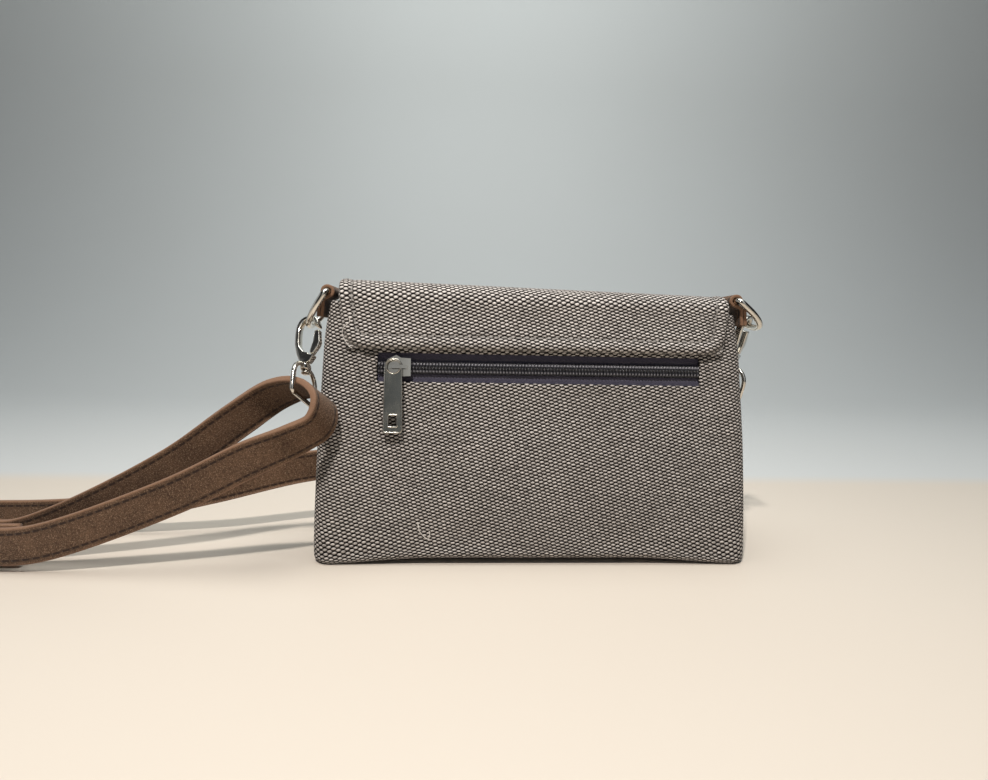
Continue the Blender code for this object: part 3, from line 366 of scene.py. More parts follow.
def pouch_grid():
    """The outer wall as rings from the foot's middle to the rim. A column is a place on a rounded
    rectangle: x = kx (a - r) + r cx and y = ky (b - r) + r cy, with a and b the half sizes and r the
    corner's radius at that height. Columns over the back stand upright, so the zip's opening is cut
    along grid lines. The rows below the foot shrink to a point in the middle of the base, which
    stands a little off the floor there; only the four corners touch it."""
    a_zip = float(pouch_half((OPENING[2] + OPENING[3]) / 2, 1)) - CORNER_RADIUS
    left, right = OPENING[0] / a_zip, OPENING[1] / a_zip
    flat = np.concatenate([np.linspace(-1, left, 13)[:-1], np.linspace(left, right, 97)[:-1],
                           np.linspace(right, 1, 13)])
    turn = np.radians(np.linspace(0, 90, 11))
    grow, fall = np.sin(turn[1:]), np.cos(turn[1:])
    side, front = np.linspace(-1, 1, 13), np.linspace(1, -1, 61)
    back, ten, twelve, sixty = np.ones(len(flat)), np.ones(10), np.ones(12), np.ones(60)
    kx = np.concatenate([flat, ten, twelve, ten, front[1:], -ten, -twelve, -ten[:-1]])
    ky = np.concatenate([-back, -ten, side[1:], ten, sixty, ten, side[::-1][1:], -ten[:-1]])
    cx = np.concatenate([0 * back, grow, twelve, fall, 0 * sixty, -grow, -twelve, -fall[:-1]])
    cy = np.concatenate([-back, -fall, 0 * twelve, grow, sixty, fall, 0 * twelve, -grow[:-1]])
    heights = np.concatenate([np.linspace(FOOT_TOP, OPENING[2], 62)[1:-1],
                              np.linspace(OPENING[2], OPENING[3], 12),
                              np.linspace(OPENING[3], RIM_SHARE * BAG_HEIGHT, 16)[1:]])
    a0, b0 = float(pouch_half(0.0, 1)), float(pouch_half(0.0, 2))
    r0 = min(CORNER_RADIUS, 0.90 * b0)
    x0, y0 = kx * (a0 - r0) + r0 * cx, ky * (b0 - r0) + r0 * cy
    share = np.clip((1 - 2 * np.abs(x0) / BAG_WIDTH) / 0.55, 0, 1)
    share = share * share * (3 - 2 * share)
    curl = CORNER_CURL + (MIDDLE_CURL - CORNER_CURL) * share
    lift = MIDDLE_LIFT * share
    rows = []
    for s in (0.0, 0.25, 0.5, 0.75, 0.9):
        rows.append(np.stack([x0 * (a0 - curl) / a0 * s, y0 * (b0 - curl) / b0 * s,
                              s * lift + (1 - s) * MIDDLE_LIFT], -1))
    for angle in np.radians(np.linspace(0, 90, 10)):
        left_out = 1 - np.sin(angle)
        rows.append(np.stack([x0 * (a0 - curl * left_out) / a0,
                              y0 * (b0 - curl * left_out) / b0,
                              lift + curl * (1 - np.cos(angle))], -1))
    for z in heights:
        a, b = float(pouch_half(z, 1)), float(pouch_half(z, 2))
        r = min(CORNER_RADIUS, 0.90 * b)
        lean = np.abs(kx) ** 8
        x = kx * (a_zip + (a - r - a_zip) * lean) + r * cx
        y = ky * (b - r) + r * cy
        low = np.clip((z - FOOT_TOP) / 0.004, 0, 1)
        swell = swelling(x, z) * np.abs(y) / b * np.where(y > 0, 1, -1)
        foot_share = (1 - np.clip((z - FOOT_TOP) / 0.020, 0, 1)) ** 2
        z_row = z + tilt(x, z) + (lift + curl - FOOT_TOP) * foot_share
        rows.append(np.stack([x, y + swell * low, z_row], -1))
    return np.array(rows), len(flat), heights


pouch_points, back_columns, pouch_heights = pouch_grid()
ring = np.concatenate([pouch_points, pouch_points[:, :1]], axis=1)
steps = np.linalg.norm(np.diff(ring, axis=1), axis=2)
travel = np.concatenate([np.zeros((len(ring), 1)), np.cumsum(steps, axis=1)], axis=1)
middle_of_back = np.array([np.interp(0.0, row[:back_columns, 0], t[:back_columns])
                           for row, t in zip(ring, travel)])
whole_way = travel[:, -1:]
measure = travel - middle_of_back[:, None]
measure = np.where(measure > whole_way * 0.75, measure - whole_way, measure)
risen = np.concatenate([[0.0], np.cumsum(np.linalg.norm(np.diff(ring[:, 40], axis=0), axis=1))])
foot = len(ring) - len(pouch_heights)
back_height = ring[:, 60, 2]
risen = np.where(np.arange(len(ring)) >= foot, back_height, risen - risen[foot] + back_height[foot])
up_measure = np.repeat(risen[:, None], ring.shape[1], axis=1)
pouch_uv = corner_uv(measure, up_measure)
jump = np.abs(pouch_uv[:, :, 1, 0] - pouch_uv[:, :, 0, 0]) > 0.1
pouch_uv[jump, 1, 0] = pouch_uv[jump, 0, 0] + 0.001
pouch_uv[jump, 2, 0] = pouch_uv[jump, 3, 0] + 0.001
drop = np.zeros((len(ring) - 1, ring.shape[1] - 1), bool)
low_row = foot + int(np.argmin(np.abs(pouch_heights - OPENING[2])))
high_row = foot + int(np.argmin(np.abs(pouch_heights - OPENING[3])))
drop[low_row:high_row, 12:108] = True
pouch_mesh = grid_mesh("pouch", pouch_points, True, pouch_uv, drop)
pouch = show("canvas_pouch", pouch_mesh, canvas, replaces=("pouch",))
weld = pouch.modifiers.new("close_base", "WELD")
weld.merge_threshold = 0.00001
wall = pouch.modifiers.new("wall", "SOLIDIFY")
wall.thickness = CANVAS
wall.offset = -1.0
wall.use_even_offset = True


# Flap. One wide piece of the same canvas is sewn to the upper back, goes over the top and hangs
# down the front. Its edge is turned in and stitched 6 mm from the fold, so that a soft welt runs
# round it; its lower edge on the back stands a little off the pouch and throws a dark shadow.

FLAP_THICKNESS = 0.0022
FLAP_BACK_SHARE, FLAP_FRONT_SHARE = 0.765, 0.260
FLAP_BACK_HALF, FLAP_TOP_HALF = 0.0885, 0.0934
FLAP_BACK_CORNER, FLAP_CORNER = 0.0028, 0.0200
STITCH_IN = 0.0062


def flap_line():
    """The flap's inner face from the side: up the back, over the top as a half ellipse, and down
    the front, drawing away from the pouch by the snap's height."""
    gap, snap_height = 0.0003, 0.0044
    arch = RIM_SHARE * BAG_HEIGHT
    reach = float(pouch_half(arch, 2)) + gap
    top = BAG_HEIGHT - FLAP_THICKNESS - arch
    up = np.linspace(FLAP_BACK_SHARE, RIM_SHARE, 22) * BAG_HEIGHT
    back = np.stack([-pouch_half(up, 2) - gap, up], -1)
    a = np.radians(np.linspace(180, 0, 40)[1:-1])
    over = np.stack([reach * np.cos(a), arch + top * np.sin(a)], -1)
    share = np.linspace(RIM_SHARE, FLAP_FRONT_SHARE, 56)
    ramp = np.clip((RIM_SHARE - share) / (RIM_SHARE - 0.700), 0, 1)
    ramp = ramp * ramp * (3 - 2 * ramp)
    z = share * BAG_HEIGHT
    down = np.stack([pouch_half(z, 2) + gap + ramp * snap_height, z], -1)
    return np.concatenate([back, over, down])


def flap_half(line):
    """Half the flap's width along its line: 88.5 mm at the back edge with a 2.8 mm corner,
    93.4 mm over the top, and quarter circles of 20 mm at the front's lower corners."""
    y, z = line[:, 0], line[:, 1]
    share = np.clip((z / BAG_HEIGHT - FLAP_BACK_SHARE) / (1 - FLAP_BACK_SHARE), 0, 1)
    from_edge = np.clip((z - z[0]) / FLAP_BACK_CORNER, 0, 1)
    corner = FLAP_BACK_CORNER * (1 - np.sqrt(1 - (1 - from_edge) ** 2))
    back = FLAP_BACK_HALF + (FLAP_TOP_HALF - FLAP_BACK_HALF) * share - corner
    above = np.clip(z - FLAP_FRONT_SHARE * BAG_HEIGHT, 0, FLAP_CORNER)
    front = FLAP_TOP_HALF - FLAP_CORNER + np.sqrt(FLAP_CORNER ** 2 - (FLAP_CORNER - above) ** 2)
    return np.where(y < 0, back, front)


def flap_surface(line, half, columns):
    """Outer points of the flap: across its width at each row, puffed along the turned edge, and
    its inner points, which keep to the line. The welt is highest 3 mm in and sinks at the stitches."""
    j = np.linspace(-1, 1, columns)
    j = np.sign(j) * (1 - (1 - np.abs(j)) ** 1.25)
    x = half[:, None] * j[None, :]
    y = np.repeat(line[:, :1], columns, axis=1)
    z = np.repeat(line[:, 1:], columns, axis=1)
    inner = np.stack([x, y, z + tilt(x, z)], -1)
    along = np.gradient(line, axis=0)
    along /= np.linalg.norm(along, axis=1)[:, None]
    out = np.stack([0 * along[:, 0], -along[:, 1], along[:, 0]], -1)[:, None, :]
    run = np.concatenate([[0], np.cumsum(np.linalg.norm(np.diff(line, axis=0), axis=1))])
    d_side = half[:, None] - np.abs(x)
    d_end = np.minimum(run, run[-1] - run)[:, None] + 0 * x
    r = 0.010
    corner = r - np.sqrt(np.clip(r - d_side, 0, r) ** 2 + np.clip(r - d_end, 0, r) ** 2)
    hem = np.where((d_side < r) & (d_end < r), corner, np.minimum(d_side, d_end))
    hem = np.clip(hem, 0, None)
    puff = 0.00045 * np.exp(-((hem - 0.0030) / 0.0016) ** 2)
    puff = puff - 0.00035 * np.exp(-((hem - STITCH_IN) / 0.0007) ** 2)
    round_off = np.sqrt(np.clip(1 - np.clip(1 - hem / 0.0011, 0, 1) ** 2, 0, 1))
    lift = (0.0014 + 0.0004 * np.sin(31 * x + 0.7)) * np.exp(-(run[:, None] / 0.009) ** 2)
    thick = (FLAP_THICKNESS + puff) * (0.22 + 0.78 * round_off)
    return inner + out * lift[..., None], inner + out * (thick + lift)[..., None], x, run, hem


flap_rows = flap_line()
flap_half_widths = flap_half(flap_rows)
flap_inner, flap_outer, flap_x, flap_run, flap_hem = flap_surface(flap_rows, flap_half_widths, 141)
flap_loop = np.concatenate([flap_outer, flap_inner[:, ::-1]], axis=1)
loop_x = np.concatenate([flap_x, flap_x[:, ::-1] + 0.4], axis=1)
loop_run = np.repeat(flap_run[:, None], loop_x.shape[1], axis=1)
loop_hem = np.concatenate([flap_hem, flap_hem[:, ::-1] + 0.1], axis=1)


def wrap_uv(u, v):
    """Corner measures of a grid that wraps round: the last column's faces end on the first."""
    return corner_uv(np.concatenate([u, u[:, :1]], 1), np.concatenate([v, v[:, :1]], 1))


flap_mesh = grid_mesh("flap", flap_loop, True, wrap_uv(loop_x, loop_run + 0.1002))
hem_layer = flap_mesh.uv_layers.new(name="hem")
to_end = np.minimum(flap_run, flap_run[-1] - flap_run)[:, None]
to_side = flap_half_widths[:, None] - np.abs(flap_x)
side_run = np.where(to_end < to_side, flap_x, flap_run[:, None] + 0 * flap_x)
loop_side = np.concatenate([side_run, side_run[:, ::-1]], axis=1)
hem_layer.data.foreach_set("uv", wrap_uv(loop_side, loop_hem).reshape(-1).astype(np.float32))


def mesh_points(mesh):
    """A mesh's points as rows."""
    flat = np.zeros(len(mesh.vertices) * 3, np.float32)
    mesh.vertices.foreach_get("co", flat)
    return flat.reshape(-1, 3)


def add_faces(mesh, faces, uv_values):
    """Adds end faces to a mesh, keeping its cloth measures, with set measures on the new ones."""
    old = {}
    count = len(mesh.loops)
    for layer in mesh.uv_layers:
        buffer = np.zeros(count * 2, np.float32)
        layer.data.foreach_get("uv", buffer)
        old[layer.name] = buffer
    points = mesh_points(mesh)
    polygons = [tuple(poly.vertices) for poly in mesh.polygons] + [tuple(f) for f in faces]
    mesh.clear_geometry()
    mesh.from_pydata(points, [], polygons)
    mesh.update()
    mesh.shade_smooth()
    for name, buffer in old.items():
        layer = mesh.uv_layers.get(name) or mesh.uv_layers.new(name=name)
        extra = np.tile(np.array(uv_values, np.float32), len(mesh.loops) - count)
        layer.data.foreach_set("uv", np.concatenate([buffer, extra]))


def strip_ends(columns, rows):
    """Quads that close the two ends of a flat loop whose columns run out and back again."""
    half = columns // 2
    j = np.arange(half - 1)
    first = np.stack([j + 1, j, columns - 1 - j, columns - 2 - j], -1)
    base = (rows - 1) * columns
    last = np.stack([base + j, base + j + 1, base + columns - 2 - j, base + columns - 1 - j], -1)
    return first.tolist() + last.tolist()


add_faces(flap_mesh, strip_ends(flap_loop.shape[1], len(flap_loop)), (0.05, 0.1005))

flap_canvas, p, shader = new_material("flap_canvas", roughness=0.94, specular_ior_level=0.08,
                                      sheen_weight=0.03, sheen_roughness=0.6)
flap_uv = p.measure()
colour, relief = canvas_paint(flap_uv)
hem_uv = p.measure("hem")
hem_along, hem_in = hem_uv.part(0), hem_uv.part(1)
off_line = hem_in.off(STITCH_IN)
stitch = off_line.ease(0.00050, 0.00030) * hem_along.beat(0.0034).ease(0.42, 0.34)
groove = off_line.ease(0.0013, 0.0002)
worn = hem_in.ease(0.0013, 0.0) * hem_in.ease(0.05, 0.04) * 0.35
# Painted light and shade: outside the stitch groove the flap's canvas is painted 10% lighter than the
# pouch's, as light falling on it from above, and in the groove it is darkened as shade.
colour = colour.tint(groove.mix((1.10, 1.10, 1.10), (0.72, 0.71, 0.70)))
colour = worn.mix(colour, (0.30, 0.28, 0.26))
colour = (stitch * 0.6).mix(colour, (0.33, 0.31, 0.295))
finish_material(flap_canvas, shader, base_color=colour,
                normal=(relief * (1.0 - stitch) + stitch * 1.3 - groove * 0.5).bump(0.0007, 0.9))
show("canvas_flap", flap_mesh, flap_canvas, replaces=("flap",))


# Snap. A pressed disc of plated metal, riveted under the flap, clips to its other half on the
# front and holds the flap shut. It stays out of sight between the two.


def metal_paint(name, light, dark, rough, scratch=0.35):
    """Plated metal: a pale and a darker cloud of the same tone, fine scratches along and across,
    tiny pits, and roughness that rises where it is handled."""
    m, p, shader = new_material(name, metallic=1.0)
    at = p.place()
    cloud = at.noise(120.0, 2.0)
    scratches = (at.noise(900.0, 2.0, (1.0, 0.08, 0.12)) * 0.6
                 + at.noise(1100.0, 2.0, (0.10, 1.0, 0.14)) * 0.4)
    pits = at.noise(2400.0, 1.0).ease(0.74, 0.80)
    pitted = pits.mix((1.0, 1.0, 1.0), (0.75, 0.73, 0.70))
    tone = cloud.ease(0.30, 0.72).mix(dark, light).tint(pitted)
    rub = cloud.ease(0.35, 0.75) * 0.10 + scratches.ease(0.45, 0.65) * 0.07
    finish_material(m, shader, base_color=tone, roughness=rub + rough + pits * 0.1,
                    normal=(scratches * scratch - pits * 0.4).bump(0.00002, 0.12))
    return m


nickel = metal_paint("polished_nickel", (0.74, 0.70, 0.63), (0.58, 0.54, 0.48), 0.06)
satin_nickel = metal_paint("satin_nickel", (0.29, 0.285, 0.26), (0.235, 0.235, 0.215), 0.19, 0.06)


def dress(node, material):
    """Gives a CAD node that keeps its shape a better finish."""
    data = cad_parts[node].data
    data.materials.clear()
    data.materials.append(material)


dress("flap_snap", satin_nickel)


# Zip. A dark blue-grey twill tape lies behind the opening, and the closed chain of nylon coils
# runs along its middle, each coil hooked over the next one on the other side, sewn down in rows.

ZIP_ORIGIN = Vector((0.00220, -0.01292, 0.09220))
ZIP_UP = Vector((0.0, 0.13406, 0.99097))
ZIP_OUT = Vector((0.0, -0.99097, 0.13406))


def on_zip(along, up, out):
    """Points from their measures along the zip, up the panel and out of it."""
    return (np.array(ZIP_ORIGIN) + along[..., None] * np.array((1.0, 0.0, 0.0))
            + up[..., None] * np.array(ZIP_UP) + out[..., None] * np.array(ZIP_OUT))


def slab(name, face, depth_points, uv):
    """A closed thin piece: a grid of outer points, the same grid behind it, joined at the rims."""
    loop = np.concatenate([face, depth_points[:, ::-1]], axis=1)
    mesh = grid_mesh(name, loop, True, uv)
    add_faces(mesh, strip_ends(loop.shape[1], len(loop)), (0.001, 0.001))
    return mesh


a, u = np.meshgrid(np.linspace(-0.0804, 0.0804, 321), np.linspace(-0.0106, 0.0106, 60),
                   indexing="ij")
ripple = 0.00010 * np.sin(210 * a) * np.cos(260 * u)
ripple = ripple + 0.00012 * np.exp(-((np.abs(u) - 0.0048) / 0.0006) ** 2)
tape_face = on_zip(a, u, -0.0023 + ripple)
tape_back = on_zip(a, u, -0.0031 + 0 * u)
both_u = np.concatenate([u, u[:, ::-1] + 0.05], axis=1)
both_a = np.concatenate([a, a[:, ::-1]], axis=1)
tape_mesh = slab("zip_tape", tape_face, tape_back, wrap_uv(both_a, both_u))
tape_paint, p, shader = new_material("tape_twill", roughness=0.82, specular_ior_level=0.3,
                                     sheen_weight=0.15)
t = p.measure()
t_along, t_up = t.part(0), t.part(1)
zig = (t_up / 0.0016).math("PINGPONG", 1.0)
rib = (t_along / 0.00062 + zig * 1.2).math("FRACT").off(0.5) * 2.0
seam = t_up.off().off(0.0041).ease(0.00045, 0.00020) * t_along.beat(0.0019).ease(0.44, 0.34)
fuzz = t.noise(2400.0, 3.0)
twill = (rib * 0.6 + fuzz * 0.6).ease(0.15, 1.0).mix((0.016, 0.015, 0.027), (0.110, 0.101, 0.150))
finish_material(tape_paint, shader, base_color=seam.mix(twill, (0.085, 0.08, 0.105)),
                normal=(rib * 0.7 + seam + fuzz * 0.3).bump(0.0002, 0.8))
show("zip_tape_cloth", tape_mesh, tape_paint, replaces=("zip_tape",))


COIL_STEP, COIL_HALF, COIL_BACK = 0.0015, 0.0030, -0.0020


def coil_surface():
    """The chain's outer face: a low arch across 6 mm, times ridges every 1.5 mm that lean outwards
    on each side and change places half a step at the middle, where the two rows of coils hook."""
    a, w = np.meshgrid(np.linspace(-0.0759, 0.0759, 1215), np.linspace(-1, 1, 27), indexing="ij")
    arch = np.sqrt(np.clip(1 - np.abs(w) ** 3.0, 0, 1))
    phase = 2 * pi * a / COIL_STEP + np.sign(w) * (pi / 2) + 1.1 * w
    ridge = np.clip(np.cos(phase) * 0.5 + 0.5, 0, 1) ** 0.7
    hook = np.exp(-(w / 0.17) ** 2)
    ridge = ridge * (1 - 0.35 * hook) + 0.25 * hook
    out = COIL_BACK + 0.0004 + arch * (0.0008 + 0.0010 * ridge)
    return on_zip(a, w * COIL_HALF, out), on_zip(a, w * COIL_HALF, COIL_BACK + 0 * a), a, w


coil_face, coil_back, a, w = coil_surface()
both_a, both_w = (np.concatenate([g, g[:, ::-1]], axis=1) for g in (a, w))
coil_mesh = slab("zip_coil", coil_face, coil_back, wrap_uv(both_a, both_w))
coil_paint, p, shader = new_material("coil_nylon", roughness=0.34, specular_ior_level=0.6)
c = p.measure()
thread_row = c.part(1).off().off(0.56).ease(0.20, 0.06) * c.part(0).beat(COIL_STEP).ease(0.40, 0.22)
wear = p.place().noise(700.0, 2.0)
nylon = wear.ease(0.3, 0.8).mix((0.007, 0.007, 0.010), (0.022, 0.022, 0.028))
finish_material(coil_paint, shader, base_color=(thread_row * 0.8).mix(nylon, (0.250, 0.245, 0.275)),
                roughness=wear * 0.25 + 0.22, normal=(wear * 0.5).bump(0.00004, 0.5))
show("zip_coil_chain", coil_mesh, coil_paint, replaces=("zip_coil",))


# Slider and pull. The slider is cast and plated, with a shouldered plate and a bridge; the pull is
# a long pressed plate with a raised rim round its darker face and round the window at its foot.

dress("zip_slider", nickel)
dress("zip_pull", satin_nickel)

PULL_ORIGIN = np.array((-0.066228, -0.0156, 0.092562))


def tube(name, path, radius, sides=14, closed=True):
    """A round wire: at each point of the path a circle of the radius, square to the path, whose
    first direction lies square to the path's own flat. Open ends are closed with a flat face."""
    path = np.asarray(path, float)
    ahead = np.roll(path, -1, axis=0) - np.roll(path, 1, axis=0)
    if not closed:
        ahead = np.gradient(path, axis=0)
    ahead /= np.linalg.norm(ahead, axis=1)[:, None]
    flat = np.linalg.svd(path - path.mean(0), full_matrices=False)[2][-1]
    if np.abs(ahead @ flat).max() > 0.9:
        flat = np.array((0.31, 0.62, 0.72))
    side = np.cross(ahead, flat)
    side /= np.linalg.norm(side, axis=1)[:, None]
    normal = np.cross(side, ahead)
    angle = np.linspace(0, 2 * pi, sides, endpoint=False)
    rings = path[:, None] + radius * (np.cos(angle)[None, :, None] * side[:, None]
                                      + np.sin(angle)[None, :, None] * normal[:, None])
    count, n = rings.shape[:2]
    if closed:
        i, j = np.meshgrid(np.arange(count), np.arange(n), indexing="ij")
        here, nxt, k = i * n, (i + 1) % count * n, (j + 1) % n
        quads = np.stack([here + j, here + k, nxt + k, nxt + j], -1)
        m = bpy.data.meshes.new(name)
        m.from_pydata(rings.reshape(-1, 3), [], quads.reshape(-1, 4).tolist())
        m.update()
        m.shade_smooth()
        return turned_out(m)
    m = grid_mesh(name, rings, True)
    add_faces(m, end_faces(count, n), (0.0, 0.0))
    return turned_out(m)


def end_faces(rings, sides):
    """The two faces that close the first and the last ring of a tube."""
    return [list(range(sides))[::-1], list(range((rings - 1) * sides, rings * sides))]


def turned_out(mesh):
    """The same mesh with its faces pointing outwards, whichever way its path ran."""
    co = mesh_points(mesh)
    mesh.calc_loop_triangles()
    tri = np.zeros(len(mesh.loop_triangles) * 3, np.int32)
    mesh.loop_triangles.foreach_get("vertices", tri)
    a, b, c = (co[tri.reshape(-1, 3)[:, k]] for k in range(3))
    volume = np.einsum("ij,ij->i", a, np.cross(b, c)).sum()
    if volume < 0:
        mesh.flip_normals()
    return mesh


def joined(name, meshes):
    """Several meshes as one."""
    points, faces, base = [], [], 0
    for m in meshes:
        points.append(mesh_points(m))
        faces += [tuple(base + v for v in poly.vertices) for poly in m.polygons]
        base += len(m.vertices)
    new = bpy.data.meshes.new(name)
    new.from_pydata(np.concatenate(points), [], faces)
    new.update()
    new.shade_smooth()
    return new


def spread(points, count, closed=True):
    """Points evenly spaced along a line of straight runs."""
    p = np.asarray(points, float)
    if closed:
        p = np.concatenate([p, p[:1]])
    t = np.concatenate([[0], np.cumsum(np.linalg.norm(np.diff(p, axis=0), axis=1))])
    s = np.linspace(0, t[-1], count, endpoint=not closed)
    return np.stack([np.interp(s, t, p[:, k]) for k in range(p.shape[1])], -1)


def softened(points, rounds, closed=True):
    """A line whose points are drawn rounds times halfway to the mean of their neighbours."""
    p = np.array(points, float)
    for _ in range(rounds):
        q = 0.5 * p + 0.25 * (np.roll(p, 1, 0) + np.roll(p, -1, 0))
        if not closed:
            q[0], q[-1] = p[0], p[-1]
        p = q
    return p


turn = np.radians(np.linspace(180, 0, 25))
rim_half, flare, rim_foot = 0.0038, 0.0003, -0.0302
rim_line = np.concatenate([np.stack([rim_half * np.cos(turn), rim_half * np.sin(turn)], -1),
                           [(rim_half + flare, rim_foot), (-rim_half - flare, rim_foot)]])
window_half, window_foot, window_top = 0.00215, -0.02770, -0.02210
window_line = np.array([(-window_half, window_foot), (window_half, window_foot),
                        (window_half, window_top), (-window_half, window_top)])
eye_turn = np.radians(np.linspace(0, 360, 33)[:-1])
eye_line = 0.00325 * np.stack([np.cos(eye_turn), np.sin(eye_turn)], -1)


def pull_path(line, count):
    """A rim's path on the pull's outer face."""
    p = softened(spread(line, count), 2)
    face = 0.00072
    return (PULL_ORIGIN + p[:, :1] * np.array((1.0, 0.0, 0.0)) + p[:, 1:] * np.array(ZIP_UP)
            + face * np.array(ZIP_OUT))


rims = [tube("rim", pull_path(rim_line, 120), 0.00034, 8),
        tube("rim", pull_path(window_line, 48), 0.00036, 8),
        tube("rim", pull_path(eye_line, 40), 0.00026, 8)]
show("pull_rims", joined("pull_rims", rims), nickel, "pull")


# Leather tabs. A 14 mm strip of brown leather is folded over each D-ring's bar and sewn to the
# bag's side between pouch and flap; its cut edges show paler, with a row of dark stitches.


def leather_paint(name, edge_at, stitch_in):
    """Sueded leather on a band's own measure (across, along): mottled browns, fine pores and nap,
    edges rubbed paler, and a row of dark stitches sunk in a groove at a set way in from each edge;
    the groove and the split between the two layers on the cut edge are darkened with painted shade."""
    m, p, shader = new_material(name, specular_ior_level=0.20, sheen_weight=0.08, sheen_roughness=0.5)
    uv = p.measure()
    reach, along = uv.part(0).off(), uv.part(1)
    at = p.place()
    cloud = at.noise(70.0, 4.0)
    grain = at.noise(1050.0, 4.0, (1.0, 1.0, 1.0), 0.68)
    pores = at.noise(2300.0, 2.0)
    tone = (cloud * 0.40 + grain * 0.72).ease(0.34, 0.80)
    tone = tone.mix((0.040, 0.020, 0.011), (0.140, 0.078, 0.045))
    tone = (pores.ease(0.52, 0.66) * 0.75).mix(tone, (0.260, 0.170, 0.108))
    line = reach.off(edge_at - stitch_in)
    stitch = line.ease(0.00062, 0.00036) * along.beat(0.0042).ease(0.40, 0.30)
    groove = line.ease(0.0011, 0.0001)
    rub = reach.ease(edge_at - 0.0011, edge_at - 0.0002) * (0.55 + cloud * 0.5)
    side = reach.ease(edge_at + 0.0001, edge_at + 0.0003)
    split = reach.off(edge_at + 0.0014).ease(0.00035, 0.0001)
    # Painted shade: the stitch groove and the split between the two layers on the cut edge are darkened as
    # shade falls in them.
    tone = (groove * 0.7).mix(tone, (0.050, 0.028, 0.017))
    tone = (rub * 0.65).mix(tone, (0.250, 0.138, 0.084))
    tone = (side * 0.55).mix(tone, (0.200, 0.112, 0.068))
    tone = (split * side).mix(tone, (0.045, 0.024, 0.014))
    tone = (stitch * 0.85).mix(tone, (0.022, 0.011, 0.007))
    relief = grain * 0.55 + pores * 0.20 - groove * 0.8 + stitch * 0.9 - split * side * 0.8
    finish_material(m, shader, base_color=tone, roughness=0.62 + grain * 0.22 - rub * 0.10,
                    normal=relief.bump(0.00022, 0.75))
    return m


tab_leather = leather_paint("tab_leather", 0.0068, 0.0016)


def band_rings(line, way, width, thickness, edge):
    """Rings of a flat band: at each point of its line a rounded rectangle, its long side along way.
    Returns the rings and the measure round each ring from the middle of the outer face."""
    along = np.gradient(line, axis=0)
    along /= np.linalg.norm(along, axis=1)[:, None]
    way = way - along * (way * along).sum(1)[:, None]
    way /= np.linalg.norm(way, axis=1)[:, None]
    normal = np.cross(along, way)
    q = np.radians(np.linspace(0, 90, 5))
    w, t = width / 2 - edge, thickness / 2 - edge
    top = np.linspace(-w, w, 15)
    grow, fall, face = edge * np.sin(q), edge * np.cos(q), 0 * top + t + edge
    sx = np.concatenate([top, w + grow[1:], w + fall, top[::-1], -w - grow[1:], -w - fall[:-1]])
    sy = np.concatenate([face, t + fall[1:], -t - grow, -face, -t - fall[1:], t + grow[:-1]])
    rings = line[:, None] + sx[None, :, None] * way[:, None] + sy[None, :, None] * normal[:, None]
    out, up = np.abs(sx), np.abs(sy)
    round_edge = np.arctan2(out - w, np.clip(up - t, 1e-9, None)) * edge
    reach = np.minimum(w, out) + np.where(out > w - 1e-9, round_edge, 0.0)
    cut_face = w + edge * 1.45 + (t + 0.0002 - up.clip(0, t))
    reach = np.where(out > w + edge * 0.98, cut_face, reach)
    return rings, np.where(sx < 0, -reach, reach)


def band_mesh(name, line, way, width, thickness, edge):
    """A closed band with its own measure (across, along) in metres."""
    rings, reach = band_rings(line, way, width, thickness, edge)
    run = np.concatenate([[0], np.cumsum(np.linalg.norm(np.diff(line, axis=0), axis=1))])
    u = np.repeat(reach[None, :], len(line), 0)
    v = np.repeat(run[:, None], len(reach), 1)
    mesh = grid_mesh(name, rings, True, wrap_uv(u, v))
    add_faces(mesh, end_faces(len(line), len(reach)), (width / 2 + 0.0008, 0.0))
    return turned_out(mesh)


def tab_line(side, bar_x, bar_z):
    """The strip's middle from the side: up the bag, round the bar in an arc, and down again."""
    outer, leather, length, gap = 0.0034, 0.0016, 0.0082, 0.0001
    top, foot = bar_z - outer, bar_z - outer - length
    inner_top, inner_foot = 0.09932, 0.10018
    a, r = np.radians(np.linspace(212, -32, 32)), outer - leather / 2
    around = np.stack([bar_x + r * np.cos(a), bar_z + r * np.sin(a)], -1)
    up = [(inner_foot + leather / 2, foot), (inner_top + leather / 2, top)]
    down = [(inner_top + 1.5 * leather + gap, top), (inner_foot + 1.5 * leather + gap, foot)]
    p = softened(spread(np.concatenate([up, around, down]), 90, False), 6, False)
    return np.stack([side * p[:, 0], 0 * p[:, 0], p[:, 1]], -1)


for side, name, bar_x, bar_z in ((-1, "left", 0.09810, 0.12694), (1, "right", 0.09730, 0.12628)):
    line = tab_line(side, bar_x, bar_z)
    way = np.repeat([(0.0, 1.0, 0.0)], len(line), 0)
    mesh = band_mesh(name + "_tab", line, way, 0.0140, 0.0015, 0.0005)
    show(name + "_tab_leather", mesh, tab_leather, replaces=(name + "_tab",))


# D-rings. Each is bent from 3 mm polished nickel-plated wire, its straight bar in the leather tab
# and its bow hanging outwards with the clasp's hook on it.


def d_ring_line():
    """A D: the bar, two small corners, and a bow that is half an ellipse."""
    half, corner, straight, bow = 0.0100, 0.0025, 0.0057, 0.0133
    q = np.radians(np.linspace(90, 0, 9))
    down = np.radians(np.linspace(0, -180, 61))
    p = [np.stack([half - corner + corner * np.cos(q), -corner + corner * np.sin(q)], -1),
         np.stack([half * np.cos(down), -straight + bow * np.sin(down)], -1),
         np.stack([-half + corner - corner * np.cos(q[::-1]), -corner + corner * np.sin(q[::-1])], -1)]
    return spread(np.concatenate(p), 160)


def placed(points, origin, x_axis, y_axis):
    """Flat points (x, y), or (x, y, z), in a frame given by its origin and two axes."""
    x, y = np.array(x_axis), np.array(y_axis)
    out = np.cross(x, y)
    p = np.asarray(points, float)
    depth = p[..., 2:3] if p.shape[-1] == 3 else 0.0
    return np.array(origin) + p[..., :1] * x + p[..., 1:2] * y + depth * out


